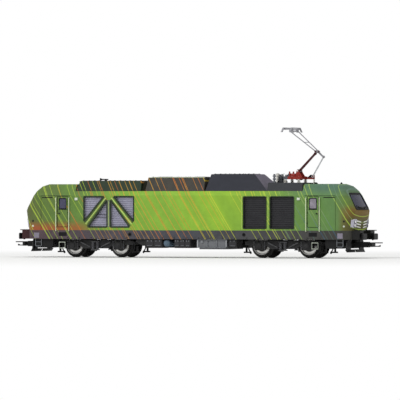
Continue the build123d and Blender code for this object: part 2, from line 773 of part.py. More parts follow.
for end_name, end in ends:
    pivot_x = end * bogie_pitch / 2
    with BuildPart() as bogie_frame:
        with BuildSketch(Plane.XZ.offset(frame_inner)):
            with BuildLine():
                Polyline(*[(pivot_x + x, rail + z) for x, z in side_frame], close=True)
            make_face()
            mirror(about=Plane.YZ.offset(pivot_x))
        extrude(amount=frame_plate)
        mirror(about=Plane.XZ)
        with Locations((pivot_x, 0, bolster_bottom)):
            Box(
                2 * bolster_half,
                2 * frame_inner,
                frame_top - bolster_bottom,
                align=(Align.CENTER, Align.CENTER, Align.MIN),
            )
        for reach in (1, -1):
            with Locations((pivot_x + reach * (frame_end - beam_width / 2), 0, rail + 7.9)):
                Box(beam_width, 2 * frame_inner, 2.2)
            with Locations((pivot_x + reach * (bolster_half + axle_reach + 3.6) / 2, 0, gear_case_z)):
                Box(axle_reach + 3.6 - bolster_half, 2 * gear_case_half, gear_case_height)
        with BuildSketch(Plane.XZ):
            with Locations((pivot_x + axle_reach, axle_z), (pivot_x - axle_reach, axle_z)):
                Circle(axle_radius + journal_clearance)
        extrude(amount=2 * frame_outer, both=True, mode=Mode.SUBTRACT)
        with BuildSketch(Plane.XY.offset(bolster_bottom)):
            with Locations((pivot_x, 0)):
                Circle(pivot_radius + journal_clearance)
        extrude(amount=frame_top - bolster_bottom, mode=Mode.SUBTRACT)
    write_part(bogie_frame.part, f"bogie_frame_{end_name}")

    # Axle-box covers with a round cap, and a coil spring on each side of it
    with BuildPart() as axle_boxes:
        for reach in (1, -1):
            box_x = pivot_x + reach * axle_reach
            with BuildSketch(Plane.XZ.offset(frame_outer)) as cover:
                with Locations((box_x, axle_z)):
                    Rectangle(2 * pedestal_half - 0.6, 4.6)
                chamfer(cover.vertices(), 0.7)
            extrude(amount=0.8)
            with BuildSketch(Plane.XZ.offset(frame_outer + 0.8)):
                with Locations((box_x, axle_z)):
                    Circle(1.7)
            extrude(amount=0.5)
            for side in (1, -1):
                spring_x = box_x + side * 2.0
                with BuildSketch(Plane.XY.offset(axle_z + 2.3)):
                    with Locations((spring_x, -frame_outer - 0.5)):
                        Rectangle(1.6, 1.0)
                extrude(amount=0.9)
        mirror(about=Plane.XZ)
    write_part(axle_boxes.part, f"axle_boxes_{end_name}")

    # Sand pipes: from the end beams down to the foot of each wheel
    with BuildPart() as sand_pipes:
        for reach in (1, -1):
            pipe_x = pivot_x + reach * (frame_end - beam_width / 2)
            pipe_y = -wheel_back_gap / 2 - wheel_width / 2 - flange_width / 2
            with BuildLine(Plane.XZ.offset(-pipe_y)) as pipe_path:
                Polyline(
                    (pipe_x, rail + 6.8),
                    (pipe_x, rail + 4.4),
                    (pipe_x - reach * 1.6, rail + 1.6),
                )
            with BuildSketch(Plane(origin=pipe_path.line @ 0, z_dir=pipe_path.line % 0)):
                RegularPolygon(pipe_radius, 6)
            sweep(transition=Transition.RIGHT)
        mirror(about=Plane.XZ)
    write_part(sand_pipes.part, f"sand_pipes_{end_name}")

    # Cab steps on the outer end of each side frame
    with BuildPart() as cab_steps:
        ladder_x = pivot_x + end * step_x
        for hanger in (1, -1):
            with Locations((ladder_x + hanger * (step_length / 2 - 0.2), -frame_outer, rail + 4.4)):
                Box(0.4, step_depth, 4.2, align=(Align.CENTER, Align.MAX, Align.MIN))
        for tread in (4.4, 8.1):
            with Locations((ladder_x, -frame_outer, rail + tread)):
                Box(step_length, step_depth, 0.5, align=(Align.CENTER, Align.MAX, Align.MIN))
        mirror(about=Plane.XZ)
    write_part(cab_steps.part, f"cab_steps_{end_name}")

    # Coupler: eye on its pin, shank, head, hook below and loop above
    with BuildPart() as coupler:
        with BuildSketch(Plane.XY.offset(coupler_height - coupler_half)):
            with Locations((end * coupler_pivot, 0)):
                Circle(2.2)
            with Locations((end * (coupler_pivot + coupler_reach - 6.7) / 2, 0)):
                Rectangle(coupler_reach - 6.7 - coupler_pivot, 2.4)
            with Locations((end * coupler_pivot, 0)):
                Circle(coupler_pin + journal_clearance, mode=Mode.SUBTRACT)
        extrude(amount=2 * coupler_half)
        with Locations((end * (coupler_reach - 5.9), 0, coupler_height)):
            Box(1.8, 6.6, 2.8)
        with Locations((end * (coupler_pivot + coupler_body_x), 0, coupler_height)):
            Box(coupler_body[0], coupler_body[1], coupler_body[2])
        with BuildSketch(Plane.XY.offset(coupler_height + 0.8)):
            with Locations((end * (coupler_reach - 3.3), 0)):
                RectangleRounded(6.6, 6.6, 0.8)
                RectangleRounded(5.2, 5.2, 0.4, mode=Mode.SUBTRACT)
        extrude(amount=0.6)
        with BuildSketch(Plane.XZ):
            with BuildLine():
                Polyline(
                    (end * (coupler_reach - 5.6), coupler_height - 1.3),
                    (end * (coupler_reach - 0.6), coupler_height - 1.3),
                    (end * (coupler_reach - 0.6), coupler_height - 0.2),
                    (end * (coupler_reach - 1.8), coupler_height - 0.7),
                    (end * (coupler_reach - 5.6), coupler_height - 0.7),
                    close=True,
                )
            make_face()
        extrude(amount=0.5, both=True)
    write_part(coupler.part, f"coupler_{end_name}")


def link_outline(start, finish, start_width, finish_width):
    """Tapered bar between two pins, drawn in the middle plane (X, Z), with round ends."""
    with BuildSketch() as outline:
        with Locations(start):
            Circle(start_width / 2)
        with Locations(finish):
            Circle(finish_width / 2)
        make_hull()
    return outline.sketch


# Pantograph base: two side bars, cross bars, the lugs and pin of the lower arm, and the foot of the control rod
bar = 1.0
base_bar = 1.7
spring_box = 2.6
panto_rest = rail + 52.3
lug_inner = arm_half + fork_gap + fork_plate + 0.8
lug_plate = 0.8
rod_y = arm_half + fork_gap + fork_plate + fork_gap
rod_plate = 0.6
with BuildPart() as panto_base:
    for side in (1, -1):
        with Locations(((panto_base_rear + panto_base_front) / 2, side * panto_base_half, panto_base_z)):
            Box(panto_base_front - panto_base_rear, bar, base_bar, align=(Align.CENTER, Align.CENTER, Align.MIN))
        with Locations((panto_base_rear + 3.0, side * 3.4, panto_base_z)):
            Cylinder(0.5, panto_rest - panto_base_z, align=(Align.CENTER, Align.CENTER, Align.MIN))
    with Locations((panto_base_rear, 0, panto_base_z)):
        Box(
            panto_pivot[0] - panto_base_rear - 1.8,
            2 * 3.6,
            spring_box,
            align=(Align.MIN, Align.CENTER, Align.MIN),
        )
    for bar_x in (panto_base_rear + bar / 2, panto_pivot[0], panto_base_front - bar / 2):
        with Locations((bar_x, 0, panto_base_z)):
            Box(bar, 2 * panto_base_half, bar, align=(Align.CENTER, Align.CENTER, Align.MIN))
    with BuildSketch(Plane.XZ.offset(lug_inner)):
        add(link_outline((panto_pivot[0], panto_base_z + 1.0), panto_pivot, 3.2, 1.5))
    extrude(amount=lug_plate)
    with BuildSketch(Plane.XZ.offset(-lug_inner)):
        add(link_outline((panto_pivot[0], panto_base_z + 1.0), panto_pivot, 3.2, 1.5))
    extrude(amount=-lug_plate)
    with BuildSketch(Plane.XZ):
        with Locations(panto_pivot):
            Circle(panto_pin)
    extrude(amount=lug_inner, both=True)
    foot_y = rod_y + rod_plate + fork_gap
    with Locations((panto_base_front - bar, foot_y, panto_base_z)):
        Box(panto_rod_foot[0] - panto_base_front + bar + 0.8, bar, bar, align=Align.MIN)
    with Locations((panto_rod_foot[0], foot_y, panto_base_z)):
        Box(
            1.6,
            bar,
            panto_rod_foot[1] - panto_base_z + 0.8,
            align=(Align.CENTER, Align.MIN, Align.MIN),
        )
    with BuildSketch(Plane.XZ.offset(-foot_y)):
        with Locations(panto_rod_foot):
            Circle(panto_pin)
    extrude(amount=rod_plate + fork_gap)
write_part(panto_base.part, "panto_base")


def insulator(x, y, bottom, top, radius):
    """Ribbed post: wide and narrow eight-sided stages in turn."""
    sheds = 3
    step = (top - bottom) / sheds
    with BuildPart() as post:
        for shed in range(sheds):
            for stage, share in ((0.0, 1.0), (0.5, 0.6)):
                with BuildSketch(Plane.XY.offset(bottom + (shed + stage) * step)):
                    with Locations((x, y)):
                        RegularPolygon(share * radius, 8)
                extrude(amount=0.5 * step)
    return post.part


roof_front_top = rail + roof_sections[3][5]
with BuildPart() as panto_insulators:
    for post_x in (panto_base_rear + 1.2, panto_base_front - 1.2):
        for side in (1, -1):
            add(insulator(post_x, side * panto_base_half, roof_front_top, panto_base_z, 1.2))
    add(insulator(panto_rod_foot[0] + 0.5, foot_y + bar / 2, cab_roof, panto_base_z, 0.6))
write_part(panto_insulators.part, "panto_insulators")

with BuildPart() as roof_insulators:
    for side in (1, -1):
        add(insulator(insulator_x, side * insulator_y, roof_front_top, insulator_top, 1.1))
write_part(roof_insulators.part, "roof_insulators")

with BuildPart() as main_switch:
    with Locations((switch_x, -2.5, roof_front_top)):
        Cylinder(1.5, 4.6, align=(Align.CENTER, Align.CENTER, Align.MIN))
    with Locations((switch_x, 2.5, roof_front_top)):
        Cylinder(1.5, 3.4, align=(Align.CENTER, Align.CENTER, Align.MIN))
    with Locations((switch_x, 0, roof_front_top)):
        Box(3.4, 8.4, 1.2, align=(Align.CENTER, Align.CENTER, Align.MIN))
write_part(main_switch.part, "main_switch")

# Lower arm: thin tube between the boss on the base pin and the knuckle at the elbow
knuckle = 0.85
with BuildPart() as panto_lower_arm:
    with BuildSketch(Plane.XZ):
        add(link_outline(panto_pivot, panto_elbow, 2.6 * lower_tube, 2.0 * lower_tube))
    extrude(amount=lower_tube, both=True)
    with BuildSketch(Plane.XZ):
        with Locations(panto_elbow):
            Circle(knuckle)
    extrude(amount=arm_half, both=True)
    with BuildSketch(Plane.XZ):
        with Locations(panto_pivot):
            Circle(1.1)
    extrude(amount=lug_inner - fork_gap, both=True)
    with BuildSketch(Plane.XZ):
        with Locations(panto_pivot, panto_elbow):
            Circle(panto_pin + journal_clearance)
    extrude(amount=lug_inner, both=True, mode=Mode.SUBTRACT)
write_part(panto_lower_arm.part, "panto_lower_arm")

# Upper arm: elbow pin and knuckles, two thin tubes that spread towards the head, the cross tube that carries
# it, a stay between the tubes, and the tail that the control rod pulls
fork_inner = arm_half + fork_gap
stay_share = 0.45
with BuildPart() as panto_upper_arm:
    for side in (1, -1):
        elbow_end = (panto_elbow[0], side * splay_elbow, panto_elbow[1])
        head_end = (panto_top[0], side * splay_top, panto_top[1])
        with BuildSketch(Plane.XZ.offset(side * fork_inner)):
            with Locations(panto_elbow):
                Circle(knuckle)
        extrude(amount=side * fork_plate)
        with BuildLine() as tube_line:
            Line(elbow_end, head_end)
        with BuildSketch(Plane(origin=elbow_end, z_dir=tube_line.line % 0)):
            Circle(upper_tube)
        sweep()
    with BuildSketch(Plane.XZ.offset(-fork_inner)):
        add(link_outline(panto_elbow, panto_tail, 1.2, 0.9))
    extrude(amount=-fork_plate)
    stay_x = panto_elbow[0] + stay_share * (panto_top[0] - panto_elbow[0])
    stay_z = panto_elbow[1] + stay_share * (panto_top[1] - panto_elbow[1])
    # Cross pieces: X, Z, radius, half length
    for x, z, radius, half_length in (
        (*panto_elbow, panto_pin, elbow_pin_half),
        (*panto_top, panto_pin, head_tube_half),
        (stay_x, stay_z, stay_radius, splay_elbow + stay_share * (splay_top - splay_elbow)),
    ):
        with BuildSketch(Plane.XZ):
            with Locations((x, z)):
                Circle(radius)
        extrude(amount=half_length, both=True)
write_part(panto_upper_arm.part, "panto_upper_arm")

# Control rod: from its foot on the base to the tail beside the elbow
with BuildPart() as panto_control_rod:
    with BuildSketch(Plane.XZ.offset(-rod_y)):
        add(link_outline(panto_rod_foot, panto_tail, 0.7, 0.7))
        with Locations(panto_rod_foot, panto_tail):
            Circle(0.85)
        with Locations(panto_rod_foot):
            Circle(panto_pin + journal_clearance, mode=Mode.SUBTRACT)
    extrude(amount=-rod_plate)
write_part(panto_control_rod.part, "panto_control_rod")

# Head: two contact strips with drooping horns, joined by two carriers that hang on the upper arm's tube
head_x = panto_top[0] - head_set_back
strip_thick = 0.6
strip_wide = 0.9
carrier_inner = head_tube_half - 1.9
with BuildPart() as panto_head:
    for strip in (1, -1):
        strip_x = head_x + strip * strip_spacing / 2
        with BuildSketch(Plane.YZ.offset(strip_x - strip_wide / 2)):
            with BuildLine():
                Polyline(
                    (-strip_half, strip_top - strip_droop),
                    (-strip_flat, strip_top),
                    (strip_flat, strip_top),
                    (strip_half, strip_top - strip_droop),
                    (strip_half - 1.1, strip_top - strip_droop),
                    (strip_flat - 0.3, strip_top - strip_thick),
                    (-strip_flat + 0.3, strip_top - strip_thick),
                    (-strip_half + 1.1, strip_top - strip_droop),
                    close=True,
                )
            make_face()
        extrude(amount=strip_wide)
    for side in (1, -1):
        with BuildSketch(Plane.XZ.offset(side * carrier_inner)):
            with Locations((head_x, strip_top - strip_thick - 0.4)):
                Rectangle(strip_spacing + strip_wide, 0.8)
            add(link_outline((panto_top[0], strip_top - strip_thick - 0.6), panto_top, 1.4, 1.7))
            with Locations(panto_top):
                Circle(panto_pin + journal_clearance, mode=Mode.SUBTRACT)
        extrude(amount=side * 0.7)
write_part(panto_head.part, "panto_head")

# Handrails beside each door, lamps on the nose corners, side cameras, horn and aerials
with BuildPart() as handrails:
    rail_length = rail_top_end - rail_bottom
    for end in (1, -1):
        for side in (1, -1):
            rail_x = end * door_x + side * rail_spacing / 2
            with Locations((rail_x, -half_width - rail_stand_off, (rail_bottom + rail_top_end) / 2)):
                Box(2 * rail_wire, 2 * rail_wire, rail_length)
            for post_z in (rail_bottom + rail_wire, rail_top_end - rail_wire):
                with Locations((rail_x, -half_width, post_z)):
                    Box(
                        2 * rail_wire,
                        rail_stand_off,
                        2 * rail_wire,
                        align=(Align.CENTER, Align.MAX, Align.CENTER),
                    )
    mirror(about=Plane.XZ)
write_part(handrails.part, "handrails")

lamp_form = body_envelope(-lamp_proud)
with BuildPart() as headlights:
    add(lamp_form)
    add(outer_form, mode=Mode.SUBTRACT)
    with BuildSketch(Plane.YZ.offset(nose_reach - 12)):
        for side in (1, -1):
            with Locations((side * (lamp_inner + lamp_outer) / 2, (lamp_bottom + lamp_top) / 2)):
                RectangleRounded(lamp_outer - lamp_inner, lamp_top - lamp_bottom, 1.0)
    with BuildSketch(Plane.YZ.offset(-nose_reach - 3)):
        for side in (1, -1):
            with Locations((side * (lamp_inner + lamp_outer) / 2, (lamp_bottom + lamp_top) / 2)):
                RectangleRounded(lamp_outer - lamp_inner, lamp_top - lamp_bottom, 1.0)
    extrude(amount=15, mode=Mode.INTERSECT)
write_part(headlights.part, "headlights")

with BuildPart() as side_cameras:
    for end in (1, -1):
        with Locations((end * camera_x, half_width, camera_z)):
            Box(2.0, 0.9, 1.6, align=(Align.CENTER, Align.MIN, Align.CENTER))
    fillet(side_cameras.faces().group_by(Axis.Y)[-1].edges(), 0.4)
    mirror(about=Plane.XZ)
write_part(side_cameras.part, "side_cameras")

roof_rear_top = rail + roof_sections[0][5]
with BuildPart() as horn:
    with BuildSketch(Plane.XZ):
        with BuildLine():
            Polyline(
                (horn_x - 2.7, roof_rear_top + 1.0),
                (horn_x - 2.7, roof_rear_top + 1.9),
                (horn_x - 1.5, roof_rear_top + 1.4),
                (horn_x + 2.7, roof_rear_top + 1.3),
                (horn_x + 2.7, roof_rear_top + 1.0),
                close=True,
            )
        make_face()
    revolve(axis=Axis((horn_x, 0, roof_rear_top + 1.0), (1, 0, 0)))
    with Locations((horn_x + 1.2, 0, roof_rear_top)):
        Box(1.2, 1.0, 1.0, align=(Align.CENTER, Align.CENTER, Align.MIN))
write_part(horn.part, "horn")

with BuildPart() as aerials:
    with Locations((aerial_x, 0, cab_roof)):
        Cylinder(0.8, 1.0, align=(Align.CENTER, Align.CENTER, Align.MIN))
    with Locations((aerial_front_x, 6.0, cab_roof)):
        Cone(0.9, 0.3, 1.0, align=(Align.CENTER, Align.CENTER, Align.MIN))
write_part(aerials.part, "aerials")
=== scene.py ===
"""Looks of the model dual-mode locomotive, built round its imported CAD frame. Sizes are in millimetres."""

import math

import bmesh
import bpy
from mathutils import Matrix, Vector

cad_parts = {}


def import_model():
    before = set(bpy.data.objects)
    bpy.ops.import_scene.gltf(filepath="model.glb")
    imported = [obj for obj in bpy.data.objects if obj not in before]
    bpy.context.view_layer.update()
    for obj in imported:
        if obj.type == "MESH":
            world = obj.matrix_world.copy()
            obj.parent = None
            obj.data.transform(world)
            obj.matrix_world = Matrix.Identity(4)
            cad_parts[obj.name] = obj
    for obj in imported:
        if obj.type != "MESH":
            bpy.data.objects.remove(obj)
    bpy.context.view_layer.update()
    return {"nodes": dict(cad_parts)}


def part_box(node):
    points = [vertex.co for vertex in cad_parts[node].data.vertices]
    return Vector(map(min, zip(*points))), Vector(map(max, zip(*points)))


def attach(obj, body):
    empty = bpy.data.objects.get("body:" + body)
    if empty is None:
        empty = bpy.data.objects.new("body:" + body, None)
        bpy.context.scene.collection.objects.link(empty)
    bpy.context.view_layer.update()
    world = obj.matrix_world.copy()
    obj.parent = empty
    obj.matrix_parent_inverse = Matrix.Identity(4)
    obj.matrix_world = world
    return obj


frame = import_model()
nodes = frame["nodes"]
scene = bpy.context.scene
scene.view_settings.view_transform = "Standard"

MM = 0.001
ENDS = (1, -1)
SIDES = (-1, 1)
CORNERS = [(end, side) for end in ENDS for side in SIDES]
UP = (0, 0, 1)


def box_of(node):
    """Lowest and highest corner of a CAD node, to a tenth of a millimetre."""
    return [[round(value / MM, 1) for value in corner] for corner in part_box(node)]


def middle_of(node):
    """Middle of a CAD node's box, to a tenth of a millimetre."""
    low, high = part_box(node)
    return [round(value / MM, 1) for value in (low + high) / 2]


# Sizes of the solids: rail head, middle of a door, half the body's width, bogie pivots, axles
RAIL = 1.1
DOOR = 83.3
HALF = box_of("side_walls")[1][1]
PIVOT = middle_of("bogie_frame_front")[0]
BOGIES = (("bogie_front", 1), ("bogie_rear", -1))
WHEELSETS = ("front_outer", "front_inner", "rear_inner", "rear_outer")
OUTER, _, AXLE = middle_of("axle_front_outer")
INNER = middle_of("axle_front_inner")[0]

# Nose of the shell: tip, its curve from above, and the round corner that ends that curve
NOSE = 110.3
NOSE_RADIUS = 91.0
CORNER_START = 13.0
CORNER_RADIUS = 5.0
CORNER_CENTRE = 12.3
CORNER_BACK = 5.884
# Height above rail, set back from the nose tip
NOSE_SECTIONS = [(15.9, 1.7), (28.0, 0.0), (30.0, 0.7), (37.5, 4.8), (40.3, 6.6), (43.2, 9.9), (44.6, 14.0)]

# Printed livery: X where its shading ends, lean of the pinstripes, soft edge of a stripe
PRINT_END = 112
STRIPE_END = 118
SLANT = 0.62
STRIPE_EDGE = 0.12
# Stripes: pitch, seed of the draws, half width
STRIPE_BANDS = ((7.3, 11.0, 0.18), (3.1, 47.0, 0.1))
# Colours along the length, from the rear: share of the length, sRGB
STRIPE_STOPS = [
    (0.00, (178, 214, 62)),
    (0.16, (190, 218, 70)),
    (0.24, (204, 104, 40)),
    (0.36, (222, 176, 60)),
    (0.50, (226, 120, 40)),
    (0.62, (214, 214, 60)),
    (0.76, (198, 226, 70)),
    (0.86, (44, 96, 128)),
    (1.00, (186, 220, 80)),
]
BODY_STOPS = [
    (0.00, (86, 104, 50)),
    (0.12, (86, 122, 56)),
    (0.20, (98, 140, 58)),
    (0.30, (124, 176, 56)),
    (0.45, (136, 188, 56)),
    (0.60, (146, 194, 50)),
    (0.72, (126, 172, 54)),
    (0.82, (98, 144, 68)),
    (0.93, (90, 138, 74)),
    (1.00, (94, 106, 46)),
]


def srgb(red, green, blue):
    """Linear colour of an sRGB triple of 0 to 255."""
    line = []
    for value in (red, green, blue):
        share = value / 255
        line.append(share / 12.92 if share <= 0.04045 else ((share + 0.055) / 1.055) ** 2.4)
    return (*line, 1.0)


class Shade:
    """One procedural material and short calls for its nodes."""

    CLOUD_SCALE = 260.0
    SHEEN_SPREAD = 0.18
    GRAIN_DEPTH = 0.02

    def __init__(self, name):
        self.material = bpy.data.materials.new(name)
        self.material.use_nodes = True
        self.tree = self.material.node_tree
        self.shader = self.tree.nodes["Principled BSDF"]
        self.place = self.node("ShaderNodeTexCoord").outputs["Object"]

    def node(self, kind, **settings):
        made = self.tree.nodes.new(kind)
        for key, value in settings.items():
            setattr(made, key, value)
        return made

    def feed(self, socket, value):
        if isinstance(value, bpy.types.NodeSocket):
            self.tree.links.new(value, socket)
        else:
            socket.default_value = value

    def fill(self, node, values):
        """Feeds a node's inputs by their names."""
        for name, value in values.items():
            self.feed(node.inputs[name], value)

    def math(self, operation, *values):
        made = self.node("ShaderNodeMath", operation=operation)
        for socket, value in zip(made.inputs, values):
            self.feed(socket, value)
        return made.outputs[0]

    def axes(self):
        """Object X, Y and Z in millimetres."""
        split = self.node("ShaderNodeSeparateXYZ")
        self.feed(split.inputs[0], self.place)
        return [self.math("MULTIPLY", out, 1 / MM) for out in split.outputs]

    def distance(self, first, second):
        """Length of the hypotenuse over two values."""
        squares = [self.math("MULTIPLY", value, value) for value in (first, second)]
        return self.math("SQRT", self.math("ADD", *squares))

    def span(self, value, low, high, soft=True):
        """0 at low, 1 at high."""
        made = self.node("ShaderNodeMapRange", interpolation_type="SMOOTHSTEP" if soft else "LINEAR")
        self.fill(made, {"Value": value, "From Min": low, "From Max": high})
        return made.outputs["Result"]

    def ramp(self, value, stops):
        """Colour ramp: each stop is its position and an sRGB triple."""
        made = self.node("ShaderNodeValToRGB")
        bar = made.color_ramp.elements
        while len(bar) < len(stops):
            bar.new(0.5)
        for element, (position, colour) in zip(bar, stops):
            element.position = position
            element.color = srgb(*colour)
        self.feed(made.inputs[0], value)
        return made.outputs["Color"]

    def mix(self, share, first, second, blend="MIX"):
        made = self.node("ShaderNodeMix", data_type="RGBA", blend_type=blend)
        self.fill(made, {"Factor": share, "A": first, "B": second})
        return made.outputs["Result"]

    def noise(self, scale, detail):
        made = self.node("ShaderNodeTexNoise")
        self.fill(made, {"Vector": self.place, "Scale": scale, "Detail": detail})
        return made.outputs["Fac"]

    def chance(self, value):
        """Random share that belongs to a whole number."""
        made = self.node("ShaderNodeTexWhiteNoise", noise_dimensions="1D")
        self.fill(made, {"W": value})
        return made.outputs["Value"]

    def grain(self, height, strength):
        made = self.node("ShaderNodeBump")
        self.fill(made, {"Strength": strength, "Distance": self.GRAIN_DEPTH * MM, "Height": height})
        self.fill(self.shader, {"Normal": made.outputs["Normal"]})

    def finish(self, colour, rough, mottle=0.12, metal=0.0, coat=0.0, bump=0.15, scale=2600.0, gloss=0.22):
        """Colour with fine cloudiness, uneven sheen and a fine surface grain."""
        cloud = self.noise(self.CLOUD_SCALE, 4.0)
        fine = self.noise(scale, 3.0)
        dark = self.mix(1.0, colour, (1 - mottle, 1 - mottle, 1 - mottle, 1.0), "MULTIPLY")
        self.fill(self.shader, {
            "Base Color": self.mix(self.span(cloud, 0.35, 0.68), dark, colour),
            "Roughness": self.math("MULTIPLY_ADD", fine, self.SHEEN_SPREAD, rough - self.SHEEN_SPREAD / 2),
            "Metallic": metal,
            "Coat Weight": coat,
            "Coat Roughness": 0.2,
            "Specular IOR Level": gloss,
        })
        self.grain(fine, bump)
        return self.material


def plain(name, colour, rough, **settings):
    """Material of one colour with its cloudiness and grain."""
    return Shade(name).finish(srgb(*colour), rough, **settings)


def stripes(shade, x, z, first, last, share):
    """Mask of parallel slanted pinstripes of uneven spacing between two heights, and their colour."""
    run = shade.math("ADD", x, shade.math("MULTIPLY", z, SLANT))
    masks = []
    for pitch, seed, width in STRIPE_BANDS:
        steps = shade.math("DIVIDE", run, pitch)
        cell = shade.math("FLOOR", steps)
        along = shade.math("SUBTRACT", steps, cell)
        centre = shade.math("MULTIPLY_ADD", shade.chance(shade.math("ADD", cell, seed)), 0.5, 0.25)
        off = shade.math("MULTIPLY", shade.math("ABSOLUTE", shade.math("SUBTRACT", along, centre)), pitch)
        line = shade.span(off, width + STRIPE_EDGE, width)
        shown = shade.math("LESS_THAN", shade.chance(shade.math("ADD", cell, seed + 90.0)), share)
        masks.append(shade.math("MULTIPLY", line, shown))
    mask = shade.math("MAXIMUM", *masks)
    # The finer stripes' cells shift the colours by up to 17 mm either way
    tint = shade.chance(shade.math("ADD", cell, seed + 31.0))
    place = shade.math("ADD", x, shade.math("MULTIPLY_ADD", tint, 34.0, -17.0))
    colour = shade.ramp(shade.span(place, -STRIPE_END, STRIPE_END, soft=False), STRIPE_STOPS)
    fade = 1.5
    window = shade.math("MULTIPLY", shade.span(z, first, first + fade), shade.span(z, last + fade, last))
    return shade.math("MULTIPLY", mask, window), colour


def livery(name, dark_top):
    """Printed green body, shaded along its length, with slanted pinstripes; dark above the height given."""
    shade = Shade(name)
    x, _, z = shade.axes()
    colour = shade.ramp(shade.span(x, -PRINT_END, PRINT_END, soft=False), BODY_STOPS)
    # Broad slanted waves of a darker green
    slant = shade.math("ADD", x, shade.math("MULTIPLY", z, SLANT))
    wave = shade.span(shade.math("SINE", shade.math("MULTIPLY", slant, 0.31)), -0.2, 1.0)
    colour = shade.mix(shade.math("MULTIPLY", wave, 0.22), colour, srgb(92, 148, 50))
    # Soft patches: none at X, full at X, none at Z, full at Z, colour, share
    patches = [
        (-58, -78, 24, 17.5, (186, 62, 36), 0.6),
        (99, 107, 34, 29, (118, 90, 26), 0.8),
        (99, 107, 28, 22, (72, 88, 38), 0.85),
        (56, 88, 36, 44, (56, 100, 104), 0.6),
        (-96, -110, 28, 44, (66, 92, 50), 0.5),
        (-102, -110, 44, 22, (74, 84, 48), 0.55),
    ]
    for start, finish, low, high, tint, share in patches:
        spot = shade.math("MULTIPLY", shade.span(x, start, finish), shade.span(z, low, high))
        colour = shade.mix(shade.math("MULTIPLY", spot, share), colour, srgb(*tint))
    mask, line = stripes(shade, x, z, 12.0, 46.0, 0.62)
    colour = shade.mix(shade.math("MULTIPLY", mask, 0.72), colour, line)
    colour = shade.mix(shade.span(z, dark_top - 0.1, dark_top), colour, srgb(38, 39, 36))
    # A little pink takes the edge off the green
    colour = shade.mix(0.06, colour, srgb(205, 135, 160))
    return shade.finish(colour, 0.55, mottle=0.07, bump=0.06, gloss=0.08)


def striped(name, tones, rough, share, strength, low, high):
    """Dark printed plastic, shaded from the rear to the front, that the pinstripes run on over."""
    shade = Shade(name)
    x, _, z = shade.axes()
    mask, line = stripes(shade, x, z, low, high, share)
    stops = [(k / (len(tones) - 1), tone) for k, tone in enumerate(tones)]
    under = shade.ramp(shade.span(x, -PRINT_END, PRINT_END, soft=False), stops)
    colour = shade.mix(shade.math("MULTIPLY", mask, strength), under, line)
    return shade.finish(colour, rough, mottle=0.2)


def wheel_paint(name, axle_x):
    """Bright turned web between a dark hub and a dark tyre, by the distance from the axle, on the outer face
    only: the inner side, towards the frame, is painted dark as shade.
    """
    hub_edge, tyre_edge, shade_edge_y = (3.1, 3.7), (5.2, 5.45), (8.6, 9.2)
    shade = Shade(name)
    x, y, z = shade.axes()
    reach = shade.distance(shade.math("SUBTRACT", x, axle_x), shade.math("SUBTRACT", z, AXLE))
    # Painted shade: inside this |Y| the wheel's inner side is painted dark, only the outer face is bright
    outer = shade.span(shade.math("ABSOLUTE", y), *shade_edge_y)
    web = shade.math("SUBTRACT", shade.span(reach, *hub_edge), shade.span(reach, *tyre_edge))
    bright_web_on_lit_side = shade.math("MULTIPLY", web, outer)
    made = shade.finish(shade.mix(bright_web_on_lit_side, srgb(40, 39, 38), srgb(230, 229, 226)), 0.34, bump=0.05)
    shade.fill(shade.shader, {"Metallic": bright_web_on_lit_side})
    # Rings left by the lathe
    shade.grain(shade.math("SINE", shade.math("MULTIPLY", reach, 40.0)), 0.06)
    return made


def lit_facing_paint(name, base, lit):
    """Dark plastic with painted light: paler where it faces forward and up, as if lit from there."""
    shade = Shade(name)
    facing = shade.node("ShaderNodeSeparateXYZ")
    shade.feed(facing.inputs[0], shade.node("ShaderNodeNewGeometry").outputs["Normal"])
    forward = shade.span(facing.outputs[0], 0.1, 0.3)
    upward = shade.span(facing.outputs[2], 0.2, 0.5)
    # Painted light: faces turned forward and up are lifted towards the lit tone
    slope = shade.math("MULTIPLY", forward, upward)
    return shade.finish(shade.mix(slope, srgb(*base), srgb(*lit)), 0.5)


def parted(name, rear, front, limit):
    """Paint of two colours, parted at the X given."""
    shade = Shade(name)
    share = shade.span(shade.axes()[0], limit - 0.1, limit)
    return shade.finish(shade.mix(share, srgb(*rear), srgb(*front)), 0.45, mottle=0.15)


def glass(name, rear, front, alpha, coat):
    """Tinted glass, its colour running from the rear cab's to the front cab's; a paler front colour is a
    painted reflection.
    """
    shade = Shade(name)
    colour = shade.mix(shade.span(shade.axes()[0], -10, 10), srgb(*rear), srgb(*front))
    shade.finish(colour, 0.12, mottle=0.25, coat=coat, bump=0.01)
    shade.fill(shade.shader, {"Alpha": alpha, "IOR": 1.5})
    return shade.material


